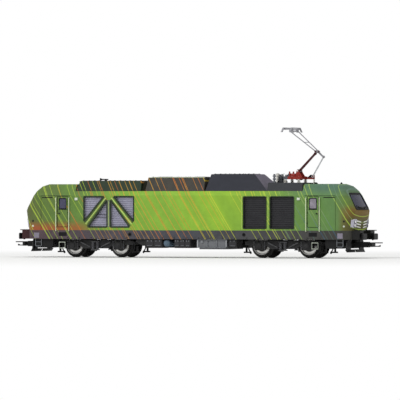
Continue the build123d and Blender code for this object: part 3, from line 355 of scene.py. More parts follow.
SILL_TONES = [(88, 70, 74), (84, 78, 84), (74, 75, 82), (76, 76, 76), (64, 63, 57)]
paint = {
    "body_paint": livery("body_paint", 60.0),
    "deck": livery("deck_paint", 41.35),
    "sill": striped("sill_grey", SILL_TONES, 0.5, 0.5, 0.6, 10.0, 18.0),
    "roof_rear": striped("roof_rear_print", [(38, 54, 34), (36, 54, 36)], 0.55, 0.5, 0.7, 41.0, 60.0),
    "roof_middle": striped("roof_middle_print", [(62, 60, 52), (66, 62, 56)], 0.55, 0.5, 0.7, 41.0, 60.0),
    # Hood slate, with painted light on the faces turned forward and up
    "hood": lit_facing_paint("hood_slate", (44, 46, 55), (98, 92, 108)),
    "roof_front": plain("roof_front_grey", (50, 52, 56), 0.55),
    "charcoal": plain("panel_charcoal", (54, 54, 57), 0.55, bump=0.1),
    "grille": plain("grille_grey", (166, 165, 184), 0.5, mottle=0.15),
    "housing": parted("housing_print", (62, 34, 36), (27, 27, 26), 0.0),
    "black": plain("black_plastic", (24, 24, 25), 0.5),
    "bogie": plain("bogie_plastic", (48, 48, 49), 0.6, mottle=0.25),
    "chassis": plain("chassis_paint", (38, 38, 40), 0.6),
    "cab": plain("cab_plastic", (66, 68, 78), 0.6),
    "motor": plain("motor_steel", (120, 120, 122), 0.45, metal=0.6),
    "white": plain("insulator_white", (226, 224, 216), 0.3, coat=0.3),
    "gear": plain("gear_grey", (128, 131, 136), 0.45),
    "red": parted("panto_red", (96, 96, 102), (158, 52, 42), 62.8),
    "maroon": plain("panto_maroon", (70, 24, 27), 0.45, mottle=0.15),
    "silver": plain("panto_grey", (192, 194, 198), 0.42, metal=0.1),
    "dull": plain("panto_dull", (158, 158, 163), 0.42, metal=0.1),
    "steel": plain("axle_steel", (178, 178, 176), 0.32, metal=0.9),
    "tank": plain("tank_grey", (118, 120, 125), 0.5),
    "reservoir": plain("reservoir_blue", (96, 116, 132), 0.7),
    "wire": plain("rail_wire", (216, 228, 190), 0.4, metal=0.1),
    "lamp": plain("lamp_unit", (196, 194, 210), 0.25, coat=0.5),
    "lamp_white": plain("lamp_lens", (244, 244, 246), 0.15, coat=0.8),
    "plate": plain("blank_plate", (136, 130, 144), 0.45),
    "camera": plain("camera_white", (214, 222, 206), 0.3, coat=0.3),
    "mark": plain("print_white", (236, 236, 230), 0.5),
    "spring": plain("spring_steel", (104, 104, 108), 0.4, metal=0.4),
    "damper": plain("damper_grey", (88, 88, 90), 0.5, mottle=0.2),
    # Lime of the painted highlights on the truss bars, the post and beside the panels
    "line": plain("lime_highlight", (196, 218, 128), 0.45),
    "bellows": plain("bellows_olive", (46, 46, 34), 0.65),
    # Greens of the painted shade round the grille bays and panels and along the truss bars
    "edge_shade": plain("edge_shade_green", (48, 58, 44), 0.6),
    "shade": plain("shade_green", (66, 82, 48), 0.55),
    "post": plain("post_grey", (108, 118, 100), 0.55),
    # Pale grey of the painted highlights on the tank's upright edges
    "edge": plain("tank_edge", (172, 174, 178), 0.5),
    "rubber": plain("rubber_black", (20, 20, 22), 0.7, bump=0.2),
    "screen": glass("windscreen_glass", (38, 41, 68), (38, 41, 72), 0.87, 0.05),
    # Painted reflection: the front cab's door panes are painted pale lilac grey, the rear cab's stay dark
    "pane": glass("door_glass", (80, 80, 104), (158, 152, 164), 0.9, 0.3),
}

# CAD nodes that wear each paint
finish_of = {
    "body_paint": ["side_walls", "cab_roofs", "noses"],
    "deck": ["roof_deck"],
    "sill": ["side_sills", "headstocks"],
    "roof_rear": ["roof_rear"],
    "roof_middle": ["roof_middle"],
    "hood": ["roof_hood"],
    "roof_front": ["roof_front"],
    "charcoal": ["side_panels", "main_switch"],
    "grille": ["truss_grilles"],
    "housing": ["buffer_housings"],
    "black": ["buffers", "rail_guards", "end_boxes", "horn", "aerials", "coupler_front", "coupler_rear"],
    "bogie": [
        f"{part}_{end}"
        for part in ("bogie_frame", "axle_boxes", "sand_pipes", "cab_steps")
        for end in ("front", "rear")
    ] + ["battery_boxes", "equipment_boxes", "filter_boxes"],
    "chassis": ["chassis_floor", "chassis_centre"],
    "cab": ["cab_interiors"],
    "motor": ["motor"],
    "white": ["panto_insulators"],
    "gear": ["roof_insulators"],
    "red": ["panto_base"],
    "maroon": ["panto_lower_arm"],
    "silver": ["panto_control_rod"],
    "dull": ["panto_upper_arm", "panto_head"],
    "steel": ["axle_" + place for place in WHEELSETS],
    "tank": ["fuel_tank"],
    "reservoir": ["air_reservoir"],
    "wire": ["handrails"],
    "camera": ["side_cameras"],
    "lamp": ["headlights"],
    "screen": ["windscreens"],
    "pane": ["door_windows"],
}


def coat(node, material):
    """Gives a CAD node its material through the object's own slots."""
    made = nodes[node]
    if not made.data.materials:
        made.data.materials.append(None)
    for place in made.material_slots:
        place.link = "OBJECT"
        place.material = material


for key, names in finish_of.items():
    for node in names:
        coat(node, paint[key])
for place in WHEELSETS:
    coat("wheels_" + place, wheel_paint("wheel_" + place, middle_of("axle_" + place)[0]))


def skin_x(y, z):
    """X of the front nose's outer skin at a place across and a height above ground."""
    height = z - RAIL
    back = NOSE_SECTIONS[0][1]
    for (low, near), (high, far) in zip(NOSE_SECTIONS, NOSE_SECTIONS[1:]):
        if low <= height <= high:
            back = near + (far - near) * (height - low) / (high - low)
    tip = NOSE - back
    y = abs(y)
    if y < CORNER_START:
        return tip - NOSE_RADIUS + math.sqrt(NOSE_RADIUS**2 - y**2)
    return tip - CORNER_BACK + math.sqrt(max(0.0, CORNER_RADIUS**2 - (y - CORNER_CENTRE) ** 2))


def on_nose(end, points, proud):
    """Places of (Y, Z) points on the nose of one end, standing proud of its skin."""
    return [(end * (skin_x(y, z) + proud), y, z) for y, z in points]


def on_side(points, y):
    """Places of (X, Z) points at one Y."""
    return [(p.x, y, p.y) for p in points]


def oblong(low_x, high_x, low_z, high_z):
    """Corners of an upright rectangle."""
    return [(low_x, low_z), (high_x, low_z), (high_x, high_z), (low_x, high_z)]


def stretches(first, last, count):
    """Start and end of each of count equal stretches."""
    marks = [first + (last - first) * k / count for k in range(count + 1)]
    return list(zip(marks, marks[1:]))


def rounded(corners, radius, steps=4):
    """Outline with its corners rounded, as points."""
    corners = [Vector(corner) for corner in corners]
    points = []
    for before, here, after in zip(corners[-1:] + corners, corners, corners[1:] + corners[:1]):
        start = here + (before - here).normalized() * radius
        finish = here + (after - here).normalized() * radius
        for k in range(steps + 1):
            t = k / steps
            points.append((1 - t) ** 2 * start + 2 * t * (1 - t) * here + t**2 * finish)
    return points


class Trim:
    """Named piece with its paint and body, whose mesh collects small solids in millimetres; the slot
    argument is not used.
    """

    SPRING_STEPS = 12
    SHARP_ANGLE = 35
    pieces = []

    def __init__(self, name, key, slot, bevel=0.0, body="loco_body"):
        self.bm = bmesh.new()
        self.mesh = bpy.data.meshes.new(name)
        self.mesh.materials.append(paint[key])
        self.pieces.append(self)
        made = bpy.data.objects.new(name, self.mesh)
        scene.collection.objects.link(made)
        if bevel:
            edge = made.modifiers.new("edge", "BEVEL")
            edge.width = bevel * MM
            edge.segments = 2
            edge.limit_method = "ANGLE"
        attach(made, body)

    def loft(self, rings, closed=False):
        """Skin through rings of equal count, capped unless the rings run back to the first."""
        made = [[self.bm.verts.new(Vector(p) * MM) for p in ring] for ring in rings]
        count = len(made[0])
        pairs = list(zip(made, made[1:])) + ([(made[-1], made[0])] if closed else [])
        for low, high in pairs:
            for i in range(count):
                j = (i + 1) % count
                self.bm.faces.new((low[i], low[j], high[j], high[i]))
        if not closed:
            self.bm.faces.new(made[0][::-1])
            self.bm.faces.new(made[-1])

    def box(self, centre, size, turn=Matrix.Identity(3)):
        half = Vector(size) / 2
        square = ((-1, -1), (1, -1), (1, 1), (-1, 1))
        self.loft([[Vector(centre) + turn @ (half * Vector((a, b, c))) for a, b in square] for c in (-1, 1)])

    def rod(self, points, radius, sides=6, closed=False, flat=1.0):
        """Tube along points; flat squeezes it across."""
        points = [Vector(p) for p in points]
        last = len(points) - 1
        rings = []
        side = None
        for i, point in enumerate(points):
            before = points[i - 1] if (i or closed) else point
            after = points[(i + 1) % len(points)] if (i < last or closed) else point
            run = (after - before).normalized()
            if side is None:
                side = run.orthogonal().normalized()
            side = (side - run * side.dot(run)).normalized()
            up = run.cross(side)
            rings.append([
                point + radius * (math.cos(t) * side + flat * math.sin(t) * up)
                for t in (math.tau * k / sides for k in range(sides))
            ])
        self.loft(rings, closed)

    def turned(self, foot, axis, profile, sides=16):
        """Solid of revolution: profile rows are distance along the axis and radius."""
        axis = Vector(axis).normalized()
        side = axis.orthogonal().normalized()
        up = axis.cross(side)
        self.loft([
            [
                Vector(foot) + axis * along + radius * (math.cos(t) * side + math.sin(t) * up)
                for t in (math.tau * k / sides for k in range(sides))
            ]
            for along, radius in profile
        ])

    def bolt(self, foot, axis, radius, height=0.22):
        """Hexagon head on a washer."""
        self.turned(foot, axis, [(-0.05, radius * 1.3), (0.06, radius * 1.3)], 10)
        self.turned(foot, axis, [(0.0, radius), (height * 0.8, radius), (height, radius * 0.8)], 6)

    def spring(self, foot, top, radius, wire, turns):
        """Coil of round wire."""
        foot = Vector(foot)
        top = Vector(top)
        run = (top - foot).normalized()
        side = run.orthogonal().normalized()
        up = run.cross(side)
        steps = turns * self.SPRING_STEPS
        coil = []
        for i in range(steps + 1):
            t = math.tau * i / self.SPRING_STEPS
            coil.append(foot + (top - foot) * (i / steps) + radius * (math.cos(t) * side + math.sin(t) * up))
        self.rod(coil, wire)

    def skin(self, cells, proud, depth, end):
        """Plates on the nose: each cell is four (Y, Z) corners, laid on the shell's skin."""
        for cell in cells:
            self.loft([on_nose(end, cell, proud - depth), on_nose(end, cell, proud)])

    def close(self):
        """Moves the solids to the mesh, with faces outwards and sharp edges marked."""
        bmesh.ops.recalc_face_normals(self.bm, faces=self.bm.faces)
        self.bm.to_mesh(self.mesh)
        self.bm.free()
        self.mesh.set_sharp_from_angle(angle=math.radians(self.SHARP_ANGLE))


def windscreen_trim():
    """Rubber seals, dark printed edges and wipers of the windscreens."""
    seals = Trim("windscreen_seals", "rubber", "black_fitting")
    bands = Trim("windscreen_bands", "black", "black_fitting")
    wipers = Trim("wipers", "black", "black_fitting")
    low, high = RAIL + 28.9, RAIL + 38.9
    low_half, high_half = 11.6, 10.2
    outline = rounded([(-low_half, low), (low_half, low), (high_half, high), (-high_half, high)], 1.5)
    loop = []
    for start, finish in zip(outline, outline[1:] + outline[:1]):
        cuts = max(1, round((finish - start).length))
        loop += [start.lerp(finish, k / cuts) for k in range(cuts)]
    # Printed band: bottom and top above rail, half width
    prints = ((29.2, 30.5, 10.9), (37.9, 38.6, 9.9))
    for end in ENDS:
        seals.rod(on_nose(end, loop, 0.06), 0.32, closed=True)
        for bottom, top, half in prints:
            cells = [oblong(a, b, RAIL + bottom, RAIL + top) for a, b in stretches(-half, half, 12)]
            bands.skin(cells, 0.0, 0.12, end)
        for side in SIDES:
            foot, bend, tip = (2.2, 29.5), (4.8, 30.1), (7.4, 31.0)
            arm = on_nose(end, [(side * y, RAIL + z) for y, z in (foot, bend, tip)], 0.42)
            wipers.rod(arm, 0.16)
            wipers.turned(arm[0], (end, 0, 0.5), [(-0.4, 0.42), (0.1, 0.42), (0.2, 0.3)], 10)
            blade = [(side * (3.4 + 1.6 * k), RAIL + 30.0 + 0.33 * k) for k in range(5)]
            wipers.rod(on_nose(end, blade, 0.32), 0.2, flat=0.5)


def nose_trim():
    """White slanted bars, lamp lenses, side wings of the lamp units and side marker lamps."""
    wings = Trim("lamp_wings", "lamp", "lamp_white")
    bars = Trim("nose_bars", "mark", "lamp_white")
    lenses = Trim("lamp_lenses", "lamp_white", "lamp_white")
    rims = Trim("lamp_rims", "black", "black_fitting")
    dots = Trim("marker_lamps", "camera", "lamp_white")
    bar_inner_y, bar_height = 2.4, 0.75
    # Bar: height at its inner end, height at its outer end, |Y| of its outer end
    bar_rows = ((21.9, 22.6, 9.5), (20.2, 20.9, 9.5), (18.5, 19.2, 9.3))
    lamp_y = 11.9
    # Lamp: height, radius
    lamp_rows = ((22.5, 0.95), (20.2, 1.0))
    wing_low, wing_high = 19.2, 23.7
    wing_parts = stretches(13.9, 15.3, 7)
    marker_x, marker_y, marker_z, socket_z = 103.5, 17.25, 19.6, 22.7
    for end, side in CORNERS:
        for inner_z, outer_z, outer_y in bar_rows:
            across = stretches(bar_inner_y, outer_y, 5)
            rising = stretches(inner_z, outer_z, 5)
            cells = [
                [(side * a, p), (side * b, q), (side * b, q + bar_height), (side * a, p + bar_height)]
                for (a, b), (p, q) in zip(across, rising)
            ]
            bars.skin(cells, 0.16, 0.3, end)
        for lamp_z, radius in lamp_rows:
            facing = (end, side * 0.2, 0.02)
            foot = on_nose(end, [(side * lamp_y, lamp_z)], 0.3)[0]
            rims.turned(foot, facing, [(-0.3, radius + 0.3), (0.22, radius + 0.3), (0.3, radius + 0.15)], 20)
            lens = [(-0.2, radius), (0.3, radius), (0.42, 0.75 * radius), (0.48, 0.3 * radius)]
            lenses.turned(foot, facing, lens, 20)
        marker = (end * marker_x, side * marker_y, marker_z)
        socket = (end * marker_x, side * marker_y, socket_z)
        dots.turned(marker, (0, side, 0), [(-0.2, 0.6), (0.14, 0.6), (0.22, 0.35)])
        rims.turned(socket, (0, side, 0), [(-0.2, 0.6), (0.16, 0.6), (0.24, 0.4)])
        cells = [oblong(side * a, side * b, wing_low, wing_high) for a, b in wing_parts]
        wings.skin(cells, 0.2, 0.5, end)


def door_trim():
    """Frames, joints and fittings of the doors, painted shade in the slots above the cab sides, blank
    plates, rail feet.
    """
    frames = Trim("door_window_frames", "rubber", "black_fitting")
    fittings = Trim("door_fittings", "black", "black_fitting")
    slots = Trim("cab_slots", "black", "black_fitting")
    plates = Trim("sill_plates", "plate", "gear_grey", 0.05)
    feet = Trim("handrail_feet", "wire", "rail_metal", 0.04)
    window_half, window_low, window_high = 2.4, 30.35, 36.85
    leaf_half, leaf_low, leaf_high = 3.6, 19.0, 38.1
    seam_z = 38.5
    joint_y = 17.26
    handle_dx, handle_z, handle_stand = 2.6, 27.4, 0.45
    hinge_dx, hinge_half = 3.5, 0.5
    slot_x, slot_z, slot_height = 93.8, 37.4, 0.5
    bar_x = 90.9
    plate_x, plate_z = 101.0, 13.75
    foot_dx, foot_y, foot_z = 4.4, 17.95, 17.3
    toe_y, toe_z = 17.6, 16.55
    for end, side in CORNERS:
        face = side * HALF
        x = end * DOOR
        out = (0, side, 0)
        window = rounded(oblong(x - window_half, x + window_half, window_low, window_high), 0.8)
        frames.rod(on_side(window, face), 0.24, closed=True)
        frames.box((x, face, 30.0), (5.4, 0.3, 0.5))
        handle_x = x + end * handle_dx
        fittings.turned((handle_x, face, handle_z), out, [(-0.1, 0.45), (0.2, 0.45), (0.3, 0.3)], 12)
        lever = [
            (handle_x, face + side * 0.2, handle_z),
            (handle_x, face + side * handle_stand, handle_z),
            (x + end * 1.5, face + side * handle_stand, handle_z - 0.1),
        ]
        fittings.rod(lever, 0.14)
        for hinge_z in (21.5, 28.0, 34.8):
            ends = (hinge_z - hinge_half, hinge_z + hinge_half)
            fittings.rod([(x - end * hinge_dx, face + side * 0.08, z) for z in ends], 0.2, 8)
        # Painted shade: a dark strip in each shallow slot above the cab side, with bars across it
        slots.box((end * slot_x, side * 17.06, slot_z), (7.2, 0.14, slot_height))
        for k in range(7):
            slots.box((end * (bar_x + k), side * 17.12, slot_z), (0.16, 0.16, slot_height))
        plates.box((end * plate_x, face, plate_z), (3.5, 0.3, 3.3))
        plates.box((end * plate_x, face + side * 0.12, plate_z), (3.0, 0.16, 2.8))
        for rail_x in (x - foot_dx, x + foot_dx):
            feet.box((rail_x, side * foot_y, foot_z), (0.38, 0.38, 1.9))
            feet.box((rail_x, side * toe_y, toe_z), (0.36, 0.8, 0.36))
        leaf = rounded(oblong(x - leaf_half, x + leaf_half, leaf_low, leaf_high), 0.6, 3)
        frames.rod(on_side(leaf, side * joint_y), 0.12, closed=True)
        frames.rod([(end * seam_x, side * joint_y, seam_z) for seam_x in (78.0, 88.0, 97.9)], 0.12)


def wall_trim():
    """Dark loops of painted shade round the truss bays and panels, pale lines of painted highlight and dark
    edges of painted shade on the bars, grille splits.
    """
    seals = Trim("grille_edge_shade", "edge_shade", "black_fitting")
    highlights = Trim("wall_highlights", "line", "rail_metal")
    shades = Trim("truss_shades", "shade", "body_green")
    posts = Trim("truss_posts", "post", "body_green", 0.04)
    splits = Trim("grille_splits", "rubber", "black_fitting")
    # Truss: X of its post, bottom, top, head of the lower bays and foot of the upper bays
    truss_x, low, high, apex, shoulder = -52.2, 18.9, 38.0, 35.7, 22.5
    # Half of the truss: way from the post, X of its far edge
    halves = ((-1, -69.0), (1, -35.4))
    panels = ((37.5, 52.7), (55.1, 70.9))
    panel_low, panel_high = 18.1, 37.8
    # Pale line of painted highlight beside the panels: X, bottom, middle, top
    panel_lines = ((36.5, 17.4, 28.0, 38.3), (53.9, 17.6, 28.0, 38.0))
    # Grille split: X of its middle, height, length
    split_rows = ((-57.9, 25.0, 8.6), (-57.4, 26.6, 7.0))
    edge_shade_y = 17.18
    for side in SIDES:
        for way, far in halves:
            upper = [Vector((truss_x + way * 3.4, high)), Vector((far, shoulder))]
            lower = [Vector((truss_x + way * 1.15, apex)), Vector((far - way * 2.8, low))]
            upper_bay = [(far, high), *upper]
            lower_bay = [lower[0], (lower[0].x, low), lower[1]]
            for bay in (upper_bay, lower_bay):
                # Dark loop of painted shade round the recessed edge of each bay
                seals.rod(on_side(rounded(bay, 0.5, 3), side * edge_shade_y), 0.46, closed=True)
            # Pale line of painted highlight along the middle of the bar
            start = Vector((truss_x + way * 1.9, side * 17.35, high - 0.9))
            finish = Vector((far - way * 1.3, side * 17.35, low + 1.9))
            highlights.rod([start, start.lerp(finish, 0.5), finish], 0.3)
            # Painted shade: dark strips along both edges of the bar
            for near, other in ((upper, lower), (lower, upper)):
                strip = near + [near[1].lerp(other[1], 0.3), near[0].lerp(other[0], 0.3)]
                shades.loft([on_side(strip, side * y) for y in (17.1, 17.36)])
        posts.box((truss_x, side * HALF, (low + apex) / 2), (1.9, 0.2, apex - low))
        # Pale line of painted highlight down the post
        highlights.rod([(truss_x, side * 17.38, z) for z in (low + 0.4, 27.0, apex - 0.8)], 0.17)
        for split_x, level, length in split_rows:
            splits.box((split_x, side * 16.16, level), (length, 0.3, 0.28))
        for low_x, high_x in panels:
            opening = rounded(oblong(low_x, high_x, panel_low, panel_high), 0.8, 3)
            # Dark loop of painted shade round the recessed edge of each panel
            seals.rod(on_side(opening, side * edge_shade_y), 0.4, closed=True)
        for line_x, *levels in panel_lines:
            highlights.rod([(line_x, side * HALF, z) for z in levels], 0.15, flat=0.5)


def sill_trim():
    """Bolts, jacking sockets, shunters' steps and buffer fixings."""
    bolts = Trim("frame_bolts", "bogie", "bogie_black")
    steps = Trim("shunter_steps", "gear", "gear_grey")
    collars = Trim("buffer_collars", "black", "black_fitting")
    first_bolt, bolt_pitch, bolt_z = -88, 8, 12.3
    jack_x, jack_z = 38.0, 14.4
    socket = [(0, 1.1), (0.3, 1.1), (0.3, 0.7), (0.1, 0.6)]
    step_x, step_y, step_top, step_low = 100.4, 15.75, 11.4, 7.0
    # Stirrup: X from its middle, height
    stirrup = ((-2.0, step_top), (-2.0, 7.4), (-1.6, step_low), (1.6, step_low), (2.0, 7.4), (2.0, step_top))
    plate_x, buffer_x, buffer_y, buffer_z = 112.4, 112.3, 10.05, 13.3
    fixing_z, fixing_dy, fixing_dz = 14.2, 2.9, 1.9
    collar = [(0, 2.3), (0.5, 2.3), (0.8, 2.0), (1.4, 1.9), (1.4, 1.5)]
    for side in SIDES:
        for k in range(23):
            bolts.bolt((first_bolt + bolt_pitch * k, side * HALF, bolt_z), (0, side, 0), 0.26)
        for x in (-jack_x, jack_x):
            collars.turned((x, side * (HALF - 0.1), jack_z), (0, side, 0), socket)
    for end, side in CORNERS:
        y = side * step_y
        steps.rod([(end * (step_x + dx), y, z) for dx, z in stirrup], 0.22)
        steps.box((end * step_x, y, 7.05), (3.4, 0.8, 0.24))
        steps.box((end * step_x, y, 9.6), (3.8, 0.5, 0.24))
        for dy in (-fixing_dy, fixing_dy):
            for dz in (-fixing_dz, fixing_dz):
                bolts.bolt((end * plate_x, side * buffer_y + dy, fixing_z + dz), (end, 0, 0), 0.32)
        collars.turned((end * buffer_x, side * buffer_y, buffer_z), (end, 0, 0), collar, 20)


def roof_trim():
    """Hatch covers with their bolts, rails along the edges, fans and cable bars."""
    rails = Trim("roof_rails", "wire", "rail_metal")
    hatches = Trim("roof_hatches", "charcoal", "roof_dark", 0.06)
    roof_bolts = Trim("roof_bolts", "bogie", "roof_dark")
    fans = Trim("roof_fans", "bogie", "black_fitting")
    bars = Trim("roof_bars", "steel", "gear_grey")
    # Section of the roof: first X, last X, half width on top, number of hatches
    sections = {
        "roof_rear": (-74.0, -32.4, 10.6, 4),
        "roof_middle": (-27.2, 9.8, 10.2, 3),
        "roof_hood": (13.0, 41.0, 7.0, 3),
    }
    gap, edge, slope, lid_sink, lid_rise = 0.5, 1.2, 0.25, 0.05, 0.22
    bolt_dx, bolt_dy = 0.9, 0.8
    for node, (first, last, half, count) in sections.items():
        top = box_of(node)[1][2]
        y = half - edge
        for start, finish in stretches(first, last, count):
            rear = start + gap
            front = finish - gap
            base = [(rear, -y), (front, -y), (front, y), (rear, y)]
            lid = [(x + (slope if x == rear else -slope), across * 0.97) for x, across in base]
            hatches.loft([[(*p, top - lid_sink) for p in base], [(*p, top + lid_rise) for p in lid]])
            for bolt_x in (rear + bolt_dx, (rear + front) / 2, front - bolt_dx):
                for bolt_y in (-y + bolt_dy, y - bolt_dy):
                    roof_bolts.bolt((bolt_x, bolt_y, top + 0.2), UP, 0.26)
    fan_z, blades, blade_reach, ring_steps = 50.0, 9, 2.5, 28
    for x in (-21.0, 3.6):
        fans.turned((x, 0, fan_z), UP, [(0, 4.6), (0.25, 4.6), (0.25, 4.1), (0.15, 4.0)], 32)
        fans.turned((x, 0, fan_z), UP, [(0, 1.0), (0.25, 1.0), (0.3, 0.6)])
        for k in range(blades):
            turn = k * math.tau / blades
            centre = (x + blade_reach * math.cos(turn), blade_reach * math.sin(turn), fan_z + 0.12)
            pitch = Matrix.Rotation(turn, 3, "Z") @ Matrix.Rotation(0.3, 3, "X")
            fans.box(centre, (3.2, 0.5, 0.08), pitch)
        for radius in (2.0, 3.2):
            turns = [k * math.tau / ring_steps for k in range(ring_steps)]
            ring = [(x + radius * math.cos(t), radius * math.sin(t), fan_z + 0.22) for t in turns]
            fans.rod(ring, 0.08, 5, closed=True)
    # Rail: |Y|, height, radius, and X of its points
    rail_rows = ((11.7, 49.7, 0.18, (-27.4, -8.0, 10.0)), (12.0, 47.4, 0.16, (-74.4, -53.0, -32.0)))
    # Cable bar to the pantograph: X, |Y| and height of its points
    cable = ((54.4, 7.0, 51.6), (55.6, 7.0, 52.1), (57.6, 6.6, 51.6), (59.6, 6.0, 50.4), (60.8, 5.6, 50.1))
    for side in SIDES:
        for y, z, radius, places in rail_rows:
            rails.rod([(x, side * y, z) for x in places], radius)
        bars.rod([(x, side * y, z) for x, y, z in cable], 0.2, 8)


def bogie_trim(body, end):
    """Coil springs, dampers, cover bolts and pale step edges of one bogie."""
    coils = Trim(body + "_coils", "spring", "bogie_black", body=body)
    dampers = Trim(body + "_dampers", "damper", "bogie_black", body=body)
    heads = Trim(body + "_bolts", "bogie", "bogie_black", body=body)
    edges = Trim(body + "_step_edges", "camera", "gear_grey", body=body)
    pivot = end * PIVOT
    spring_y, bolster_spring_y, bolster_y, damper_y = 13.85, 14.0, 13.9, 13.8
    spring_low, spring_high, bolster_low, bolster_high = 5.6, 9.9, 5.0, 9.6
    damper_high, damper_low, damper_end = 9.7, 6.4, 7.9
    spring_dx, bolster_dx, bolt_dx, eye_dx, pin_dx = 3.5, 1.5, 2.2, 5.4, 3.4
    bolt_y, cap_y, eye_y, row_y, row_z = 14.1, 14.5, 13.2, 13.3, 10.4
    seat = [(0, 0.6), (0.35, 0.6)]
    step_x, step_y = end * 84.2, 16.08
    for side in SIDES:
        out = (0, side, 0)
        for axle in (INNER, OUTER):
            x = end * axle
            y = side * spring_y
            for spring_x in (x - spring_dx, x + spring_dx):
                coils.spring((spring_x, y, spring_low), (spring_x, y, spring_high), 0.4, 0.13, 6)
                for seat_z in (5.3, 9.8):
                    dampers.turned((spring_x, y, seat_z), UP, seat, 12)
            for bolt_x in (x - bolt_dx, x + bolt_dx):
                for bolt_z in (5.7, 9.1):
                    heads.bolt((bolt_x, side * bolt_y, bolt_z), out, 0.24)
            heads.turned((x, side * cap_y, AXLE), out, [(0, 1.3), (0.2, 1.3), (0.35, 1.0)])
            # Damper from beside the axle down to the bolster, thick in its upper half
            inward = 1 if x < pivot else -1
            y = side * damper_y
            high = Vector((x + inward * eye_dx, y, damper_high))
            low = Vector((pivot - inward * pin_dx, y, damper_low))
            dampers.rod([high, (high.x * 0.45 + low.x * 0.55, y, damper_end)], 0.5, 10)
            dampers.rod([high, low], 0.28, 8)
            for eye in (high, low):
                heads.turned((eye.x, side * eye_y, eye.z), out, [(0, 0.55), (1.0, 0.55), (1.15, 0.4)], 12)
        for spring_x in (pivot - bolster_dx, pivot + bolster_dx):
            y = side * bolster_spring_y
            coils.spring((spring_x, y, bolster_low), (spring_x, y, bolster_high), 0.95, 0.22, 6)
        for seat_z in (4.75, 9.85):
            dampers.box((pivot, side * bolster_y, seat_z), (5.4, 1.4, 0.5))
        for k in range(9):
            heads.bolt((pivot - 12 + 3 * k, side * row_y, row_z), out, 0.2)
        for tread_z in (5.78, 9.48):
            edges.box((step_x, side * step_y, tread_z), (4.3, 0.22, 0.3))
        for post_x in (step_x - 2.0, step_x + 2.0):
            edges.rod([(post_x, side * 16.1, z) for z in (5.7, 7.5, 9.4)], 0.12)


def underframe_trim():
    """Lids and latches on the boxes, reservoir end rings, tank frame with filler, pale upright tank edges of
    painted highlight, pipe brackets.
    """
    lids = Trim("box_lids", "charcoal", "bogie_black", 0.06)
    latches = Trim("box_latches", "gear", "gear_grey")
    rings = Trim("reservoir_rings", "reservoir", "reservoir_blue")
    tank_frame = Trim("tank_frame", "gear", "tank_grey")
    tank_highlights = Trim("tank_highlights", "edge", "tank_grey", 0.06)
    brackets = Trim("pipe_brackets", "bogie", "bogie_black", 0.08)
    lid_counts = {"battery_boxes": 2, "equipment_boxes": 3, "filter_boxes": 1}
    lid_z, latch_z, bar_z = 9.1, 10.4, 7.5
    ring_rows = [(0, 1.35), (0.22, 1.35), (0.32, 1.2), (0.32, 0.5), (0.5, 0.45)]
    tank_middle = middle_of("fuel_tank")[0]
    tank_y, tank_low, tank_high = box_of("fuel_tank")[1][1], 6.6, 11.3
    # Painted highlight as a bright upright edge of the tank: X, width
    highlight_rows = ((7.0, 0.9), (25.9, 0.6))
    # Pipe bracket: X and height of its corners; X and lowest height of its ribs
    bracket = ((-34.5, 11.75), (-28.3, 11.75), (-28.3, 7.3), (-30.2, 7.3), (-34.5, 9.6))
    bracket_ribs = ((-32.6, 9.0), (-30.2, 7.8))
    rib_top = 11.6
    for side in SIDES:
        out = (0, side, 0)
        for node, count in lid_counts.items():
            (first, _, _), (last, outer, _) = box_of(node)
            wide = (last - first) / count
            bar_y = side * (outer + 0.2)
            for k in range(count):
                x = first + (k + 0.5) * wide
                lids.box((x, side * (outer + 0.05), lid_z), (wide - 0.8, 0.3, 3.6))
                for latch_x in (x - wide * 0.22, x + wide * 0.22):
                    latches.box((latch_x, side * (outer + 0.25), latch_z), (0.5, 0.3, 0.7))
                latches.rod([(bar_x, bar_y, bar_z) for bar_x in (x - wide * 0.3, x + wide * 0.3)], 0.14)
        rings.turned((-13.9, side * 16.0, 9.0), out, ring_rows, 20)
        face = side * tank_y
        for x in (6.7, 13.2, 19.7, 26.1):
            tank_frame.box((x, face, 8.9), (0.32, 0.3, 4.9))
        for z in (tank_low, tank_high):
            tank_frame.box((tank_middle, face, z), (19.7, 0.3, 0.32))
        # Painted highlight: pale strips on the tank's upright edges
        for x, width in highlight_rows:
            tank_highlights.box((x, face, 9.0), (width, 0.36, 4.5))
        brackets.loft([[(x, side * y, z) for x, z in bracket] for y in (9.8, 15.2)])
        for x, low in bracket_ribs:
            brackets.box((x, side * 15.25, (low + rib_top) / 2), (0.35, 0.3, rib_top - low))
        tank_frame.turned((9.8, face - side * 0.3, 9.9), out, [(0, 0.9), (0.6, 0.9), (0.7, 0.7)])
        for k in range(9):
            tank_frame.bolt((8.0 + 2.1 * k, face + side * 0.1, tank_low), out, 0.16, 0.15)


